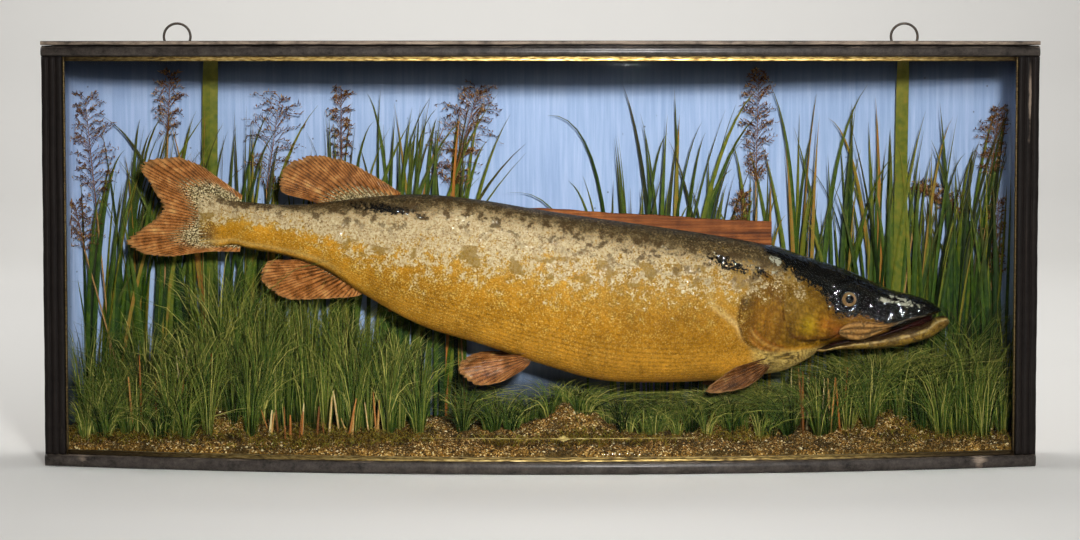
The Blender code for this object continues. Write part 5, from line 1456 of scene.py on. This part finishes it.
chance = np.random.default_rng(23)
blade_profile = (0.55, 0.78, 0.93, 1.0, 1.0, 0.96, 0.9, 0.82, 0.72, 0.6, 0.46, 0.3, 0.12, 0.02)
clumps = (  # middle x, spread, blades, lowest and highest tip, mean lean, shade
    (-0.59, 0.02, 14, 0.16, 0.4, 0.03, 0.3), (-0.545, 0.026, 34, 0.2, 0.47, 0.05, 0.24),
    (-0.492, 0.022, 32, 0.2, 0.46, 0.03, 0.26), (-0.44, 0.016, 18, 0.22, 0.46, -0.02, 0.36),
    (-0.398, 0.014, 20, 0.24, 0.47, 0.02, 0.32), (-0.34, 0.03, 28, 0.2, 0.42, 0.0, 0.34),
    (-0.268, 0.016, 24, 0.22, 0.47, 0.01, 0.28), (-0.19, 0.028, 42, 0.24, 0.48, 0.03, 0.24),
    (-0.12, 0.016, 20, 0.22, 0.47, 0.02, 0.28), (0.118, 0.02, 16, 0.22, 0.44, 0.0, 0.26),
    (0.165, 0.022, 26, 0.24, 0.49, 0.03, 0.24), (0.222, 0.014, 14, 0.24, 0.46, 0.02, 0.3),
    (0.285, 0.016, 14, 0.22, 0.46, 0.0, 0.38), (0.342, 0.013, 18, 0.24, 0.48, 0.0, 0.3),
    (0.396, 0.016, 18, 0.24, 0.48, 0.03, 0.32), (0.452, 0.018, 28, 0.22, 0.47, -0.01, 0.26),
    (0.502, 0.018, 32, 0.2, 0.45, 0.02, 0.24), (0.556, 0.02, 40, 0.2, 0.47, 0.02, 0.22),
    (0.595, 0.012, 18, 0.2, 0.42, -0.02, 0.28))
rows = []
for middle, spread, blades, low_tip, high_tip, lean, shade in clumps:
    for _ in range(blades):
        x = middle + chance.normal(0.0, spread * 0.7)
        y = chance.uniform(0.084, 0.101)
        tip = chance.uniform(low_tip, high_tip) ** 0.6 * high_tip ** 0.4
        tilt = chance.normal(lean, 0.045) * (tip / 0.45)
        rows.append((x, y, x + tilt, y + chance.normal(0.0, 0.004), tip,
            0.25 * tilt + chance.normal(0.0, 0.004), chance.uniform(0.6, 0.95),
            chance.uniform(0.0038, 0.0076), chance.normal(shade, 0.13) + 0.35 * (chance.random() < 0.14)))
# Single leaves that can be told apart: broad straps, the bent and arched leaves
# in the open middle, and thin arcs over the right.
for x, end_x, tip, pull, height, width, shade in ((-0.436, -0.433, 0.521, 0.0, 0.8, 0.0205, 0.5),
        (0.472, 0.476, 0.521, 0.002, 0.8, 0.0165, 0.54), (-0.1, -0.073, 0.47, -0.01, 0.8, 0.006, 0.45),
        (0.094, 0.01, 0.447, 0.01, 1.02, 0.0085, 0.3), (0.062, -0.045, 0.345, 0.01, 1.06, 0.0034, 0.36),
        (0.33, 0.3, 0.49, 0.02, 0.8, 0.0064, 0.34), (0.372, 0.43, 0.488, -0.01, 0.8, 0.0064, 0.36),
        (0.56, 0.606, 0.47, 0.0, 0.8, 0.006, 0.42), (-0.205, -0.145, 0.47, 0.0, 0.8, 0.008, 0.3),
        (-0.2, -0.21, 0.48, -0.02, 0.8, 0.0076, 0.3)):
    rows.append((x, 0.094, end_x, 0.094, tip, pull, height, width, shade))
x, y, end_x, end_y, tip, pull, height, width, shade = np.array(rows).T
root = joined(x, y, ground_height(x, y) - 0.004)
control = joined(x + pull, 0.5 * (y + end_y), root[:, 2] + height * (tip - root[:, 2]))
end = joined(end_x, end_y, tip)
face = chance.normal(0.0, 0.55, len(x)) * (width < 0.015)
straps = [strands(kept_inside(root[of]), kept_inside(control[of]), kept_inside(end[of]), width[of],
    0.16 * width[of], face[of], profile, corners=4) for of, profile in ((width < 0.015, blade_profile),
    (width > 0.015, (0.55, 0.85) + (1.0,) * 10 + (0.97, 0.9)))]
make_piece("dried_reeds", *gather([shell for shell, _, _ in straps]),
    graded("dyed_reed_leaf", ((0.0, "#0e1c09"), (0.22, "#21390f"), (0.4, "#3f5414"), (0.58, "#6b6b1c"),
    (0.75, "#8f6a2a"), (0.9, "#a8662b")), 0.6, 120.0, 0.4), "reed",
    ("reeds_left", "reeds_left_inner", "reeds_middle", "reeds_right_inner", "reeds_right_middle",
    "reeds_right"), smooth=False, fields={"shade": np.concatenate([shade[of][who] for of,
    (_, _, who) in zip((width < 0.015, width > 0.015), straps)]),
    "along": np.concatenate([along for _, along, _ in straps])})

# Seed heads: a drooping stem, side branches and small husks along each branch.
stems, branches, husks = [], [], []
for root_x, low_x, low_z, top_x, top_z, spread, count in ((-0.56, -0.585, 0.33, -0.598, 0.47, 0.026, 30),
        (-0.54, -0.6, 0.27, -0.612, 0.33, 0.02, 18), (-0.5, -0.49, 0.42, -0.486, 0.5, 0.016, 20),
        (-0.355, -0.36, 0.35, -0.342, 0.47, 0.03, 22), (-0.262, -0.262, 0.39, -0.262, 0.48, 0.014, 20),
        (-0.098, -0.118, 0.35, -0.082, 0.48, 0.03, 42), (0.285, 0.283, 0.36, 0.286, 0.505, 0.017, 38),
        (0.46, 0.498, 0.352, 0.545, 0.318, 0.016, 26), (0.56, 0.592, 0.37, 0.602, 0.455, 0.017, 28),
        (0.57, 0.596, 0.235, 0.604, 0.335, 0.02, 30), (0.24, 0.262, 0.3, 0.268, 0.345, 0.01, 14)):
    y = 0.092 + chance.normal(0.0, 0.003)
    stems.append((root_x, y, ground_height(np.array(root_x), np.array(y)), low_x, low_z, top_x, top_z))
    count = 2 * count
    t = np.linspace(0.0, 1.0, count)
    bx = low_x + (top_x - low_x) * t
    bz = low_z + (top_z - low_z) * t
    reach = spread * (0.35 + 0.9 * np.sin(np.pi * (0.12 + 0.8 * t))) * chance.uniform(0.5, 1.25, count)
    side = np.where(np.arange(count) % 2 == 0, 1.0, -1.0)
    rise = 0.9 * reach * chance.uniform(-0.3, 1.2, count)
    for i in range(count):
        start = np.array((bx[i], y, bz[i]))
        stop = start + (side[i] * reach[i], chance.normal(0.0, 0.25) * reach[i], rise[i])
        middle = start + (0.5 * side[i] * reach[i], 0.0, 0.9 * abs(rise[i]) + 0.3 * reach[i])
        branches.append((*start, *middle, *stop))
        for share in np.linspace(0.15, 1.0, 13) + chance.normal(0.0, 0.03, 13):
            spot = (1 - share) ** 2 * start + 2 * share * (1 - share) * middle + share ** 2 * stop
            out = chance.normal(0.0, 0.0024, 3) + (0.001 * side[i], 0.0, 0.0012)
            husks.append((*spot, *(spot + 0.5 * out), *(spot + out)))
stems, branches, husks = (np.array(table, dtype=float) for table in (stems, branches, husks))
stem_low = joined(stems[:, 3], stems[:, 1], stems[:, 4])
stem_mid = joined(0.5 * stems[:, 0] + 0.5 * stems[:, 3], stems[:, 1], 0.6 * stems[:, 4])
stem_top = joined(stems[:, 5], stems[:, 1], stems[:, 6])
heads = [strands(stems[:, :3], kept_inside(stem_mid), kept_inside(stem_low), 0.0022, 0.0022, 0.0,
    (1.0,) * 8, corners=6), strands(stem_low, kept_inside(0.5 * (stem_low + stem_top)),
    kept_inside(stem_top), 0.0016, 0.0016, 0.0, (1.0, 0.8, 0.6, 0.3), corners=5),
    strands(*(kept_inside(branches[:, i:i + 3]) for i in (0, 3, 6)), 0.0007, 0.0007, 0.0,
    (1.0, 0.9, 0.7, 0.5)), strands(*(kept_inside(husks[:, i:i + 3]) for i in (0, 3, 6)),
    chance.uniform(0.0011, 0.0021, len(husks)), 0.001, chance.uniform(0.0, 3.1, len(husks)),
    (0.2, 1.0, 0.1), corners=4)]
head_shade = np.concatenate([np.full(len(who), shade) if shade is not None
    else chance.uniform(0.0, 0.9, len(husks))[who] for (_, _, who),
    shade in zip(heads, (0.75, 0.5, 0.45, None))])
make_piece("seed_heads", *gather([shell for shell, _, _ in heads]),
    graded("brown_seed_head", ((0.0, "#331a10"), (0.35, "#62391f"), (0.6, "#8b5c36"), (0.85, "#b58d58")),
    0.85, 400.0, 0.0), "reed", fields={"shade": head_shade})

# ----------------------------------------------------------------- fine grasses
# Tufts of fine dyed grass hide the foot of the reeds: tall and upright on the
# left, low and curling in the middle and on the right. Cut stubs stand among them.


def tufts(table, seed):
    """Roots, middles and ends of the blades of many tufts, given as middle x, y,
    spreads, number of tufts, blades in each, height and curl."""
    draw = np.random.default_rng(seed)
    blades = []
    for middle, depth, wide, deep, number, each, height, curl in table:
        tuft_x = middle + wide * draw.uniform(-1.0, 1.0, number)
        tuft_y = depth + deep * draw.uniform(-1.0, 1.0, number)
        grow = draw.uniform(0.55, 1.25, number)
        dye = draw.normal(0.42, 0.13, number)
        bend = draw.normal(0.0, 0.5, number)
        for i in range(number):
            bearing = draw.uniform(0.0, 6.28, each)
            start = 0.006 * np.sqrt(draw.random(each))
            x, y = tuft_x[i] + start * np.cos(bearing), tuft_y[i] + start * np.sin(bearing)
            tall = height * grow[i] * draw.uniform(0.45, 1.1, each)
            away = (curl * tall * (0.25 + 0.75 * draw.random(each))
                * (1.0 + 0.9 * (draw.random(each) < 0.25)))
            base = ground_height(x, y) - 0.003
            belly = at_station(STATIONS, np.clip(x, -0.398, 0.5))[1]
            room = np.where((x > -0.39) & (x < 0.53) & (y < 0.072),
                np.minimum(belly, 0.165 + (x < 0.3)) - 0.012, 0.6)
            tall = np.minimum(tall, room - base)
            blades.append(np.stack((x, y, base, x + 0.2 * away * np.cos(bearing),
                y + 0.12 * away * np.sin(bearing), base + 0.85 * tall,
                x + away * (np.cos(bearing) + bend[i]), y + 0.6 * away * np.sin(bearing),
                base + tall * (1.0 - 0.45 * curl * draw.random(each)), draw.uniform(0.0009, 0.0017, each),
                np.clip(draw.normal(dye[i], 0.22, each), 0, 1))))
    return np.concatenate(blades, 1).T


grass_profile = (1.0, 0.95, 0.8, 0.55, 0.1)
dyed_grass = graded("dyed_fine_grass", ((0.0, "#121b04"), (0.18, "#283d0d"), (0.34, "#456026"),
    (0.5, "#6a7a2e"), (0.72, "#9c9a40"), (1.0, "#dccb72")), 0.7, 200.0, 0.35)
TUFTS = {       # middle x and y, spread in x and y, tufts, blades in each, height, curl
    "left": ((-0.555, 0.055, 0.05, 0.03, 22, 44, 0.125, 0.42),
        (-0.52, 0.0, 0.07, 0.025, 20, 44, 0.08, 0.7), (-0.4, 0.05, 0.06, 0.03, 30, 48, 0.175, 0.32),
        (-0.3, 0.045, 0.07, 0.03, 34, 48, 0.165, 0.3), (-0.2, 0.03, 0.05, 0.03, 26, 48, 0.14, 0.34),
        (-0.42, 0.0, 0.06, 0.02, 14, 44, 0.115, 0.5)),
    "right": ((-0.02, 0.04, 0.09, 0.03, 26, 40, 0.06, 0.95),
        (0.11, 0.035, 0.07, 0.035, 24, 40, 0.065, 0.95), (0.25, 0.02, 0.06, 0.035, 28, 44, 0.08, 0.95),
        (0.37, 0.03, 0.06, 0.04, 28, 46, 0.115, 0.8), (0.48, 0.04, 0.06, 0.035, 34, 46, 0.145, 0.65),
        (0.57, 0.045, 0.038, 0.035, 24, 46, 0.15, 0.55))}
STUBS = {       # middle x and y, spread in x, stubs, shortest, tallest
    "left": ((-0.275, -0.01, 0.08, 22, 0.018, 0.055), (-0.48, 0.01, 0.05, 14, 0.05, 0.11)),
    "right": ((0.365, 0.01, 0.028, 9, 0.062, 0.085), (0.335, 0.03, 0.02, 4, 0.06, 0.08))}
for side, table in TUFTS.items():
    blades = tufts(table, len(side))
    shell, along, who = strands(*(kept_inside(blades[:, i:i + 3]) for i in (0, 3, 6)), blades[:, 9],
        0.4 * blades[:, 9], blades[:, 10] * 7.0, grass_profile)
    draw = np.random.default_rng(31)
    stub = np.array(STUBS[side])
    number = stub[:, 3].astype(int)
    x = np.repeat(stub[:, 0], number) + np.repeat(stub[:, 2], number) * draw.uniform(-1, 1, number.sum())
    y = np.repeat(stub[:, 1], number) + 0.02 * draw.uniform(-1, 1, number.sum())
    foot = joined(x, y, ground_height(x, y) - 0.002)
    top = (foot + joined(0.006 * draw.normal(size=x.size), 0.004 * draw.normal(size=x.size),
        draw.uniform(*np.repeat(stub[:, 4:], number, axis=0).T)))
    stubs, _, of_stub = strands(foot, 0.5 * (foot + top), top, draw.uniform(0.0016, 0.0036, x.size),
        0.0014, 0.0, (1.0, 0.95, 0.85, 0.5), corners=6)
    make_piece(f"fine_grass_{side}", *gather([shell, stubs]), (dyed_grass,
        graded("cut_stubs", ((0.1, "#6f4420"), (0.4, "#a8642c"), (0.7, "#b98d50"), (0.95, "#d9c08c")),
        0.6, 300.0, 0.0)), "grass", (f"grass_{side}",), kinds=face_kinds([shell], [stubs]),
        fields={"shade": np.concatenate((blades[who, 10], draw.random(x.size)[of_stub])),
        "along": np.pad(along, (0, len(of_stub)))})
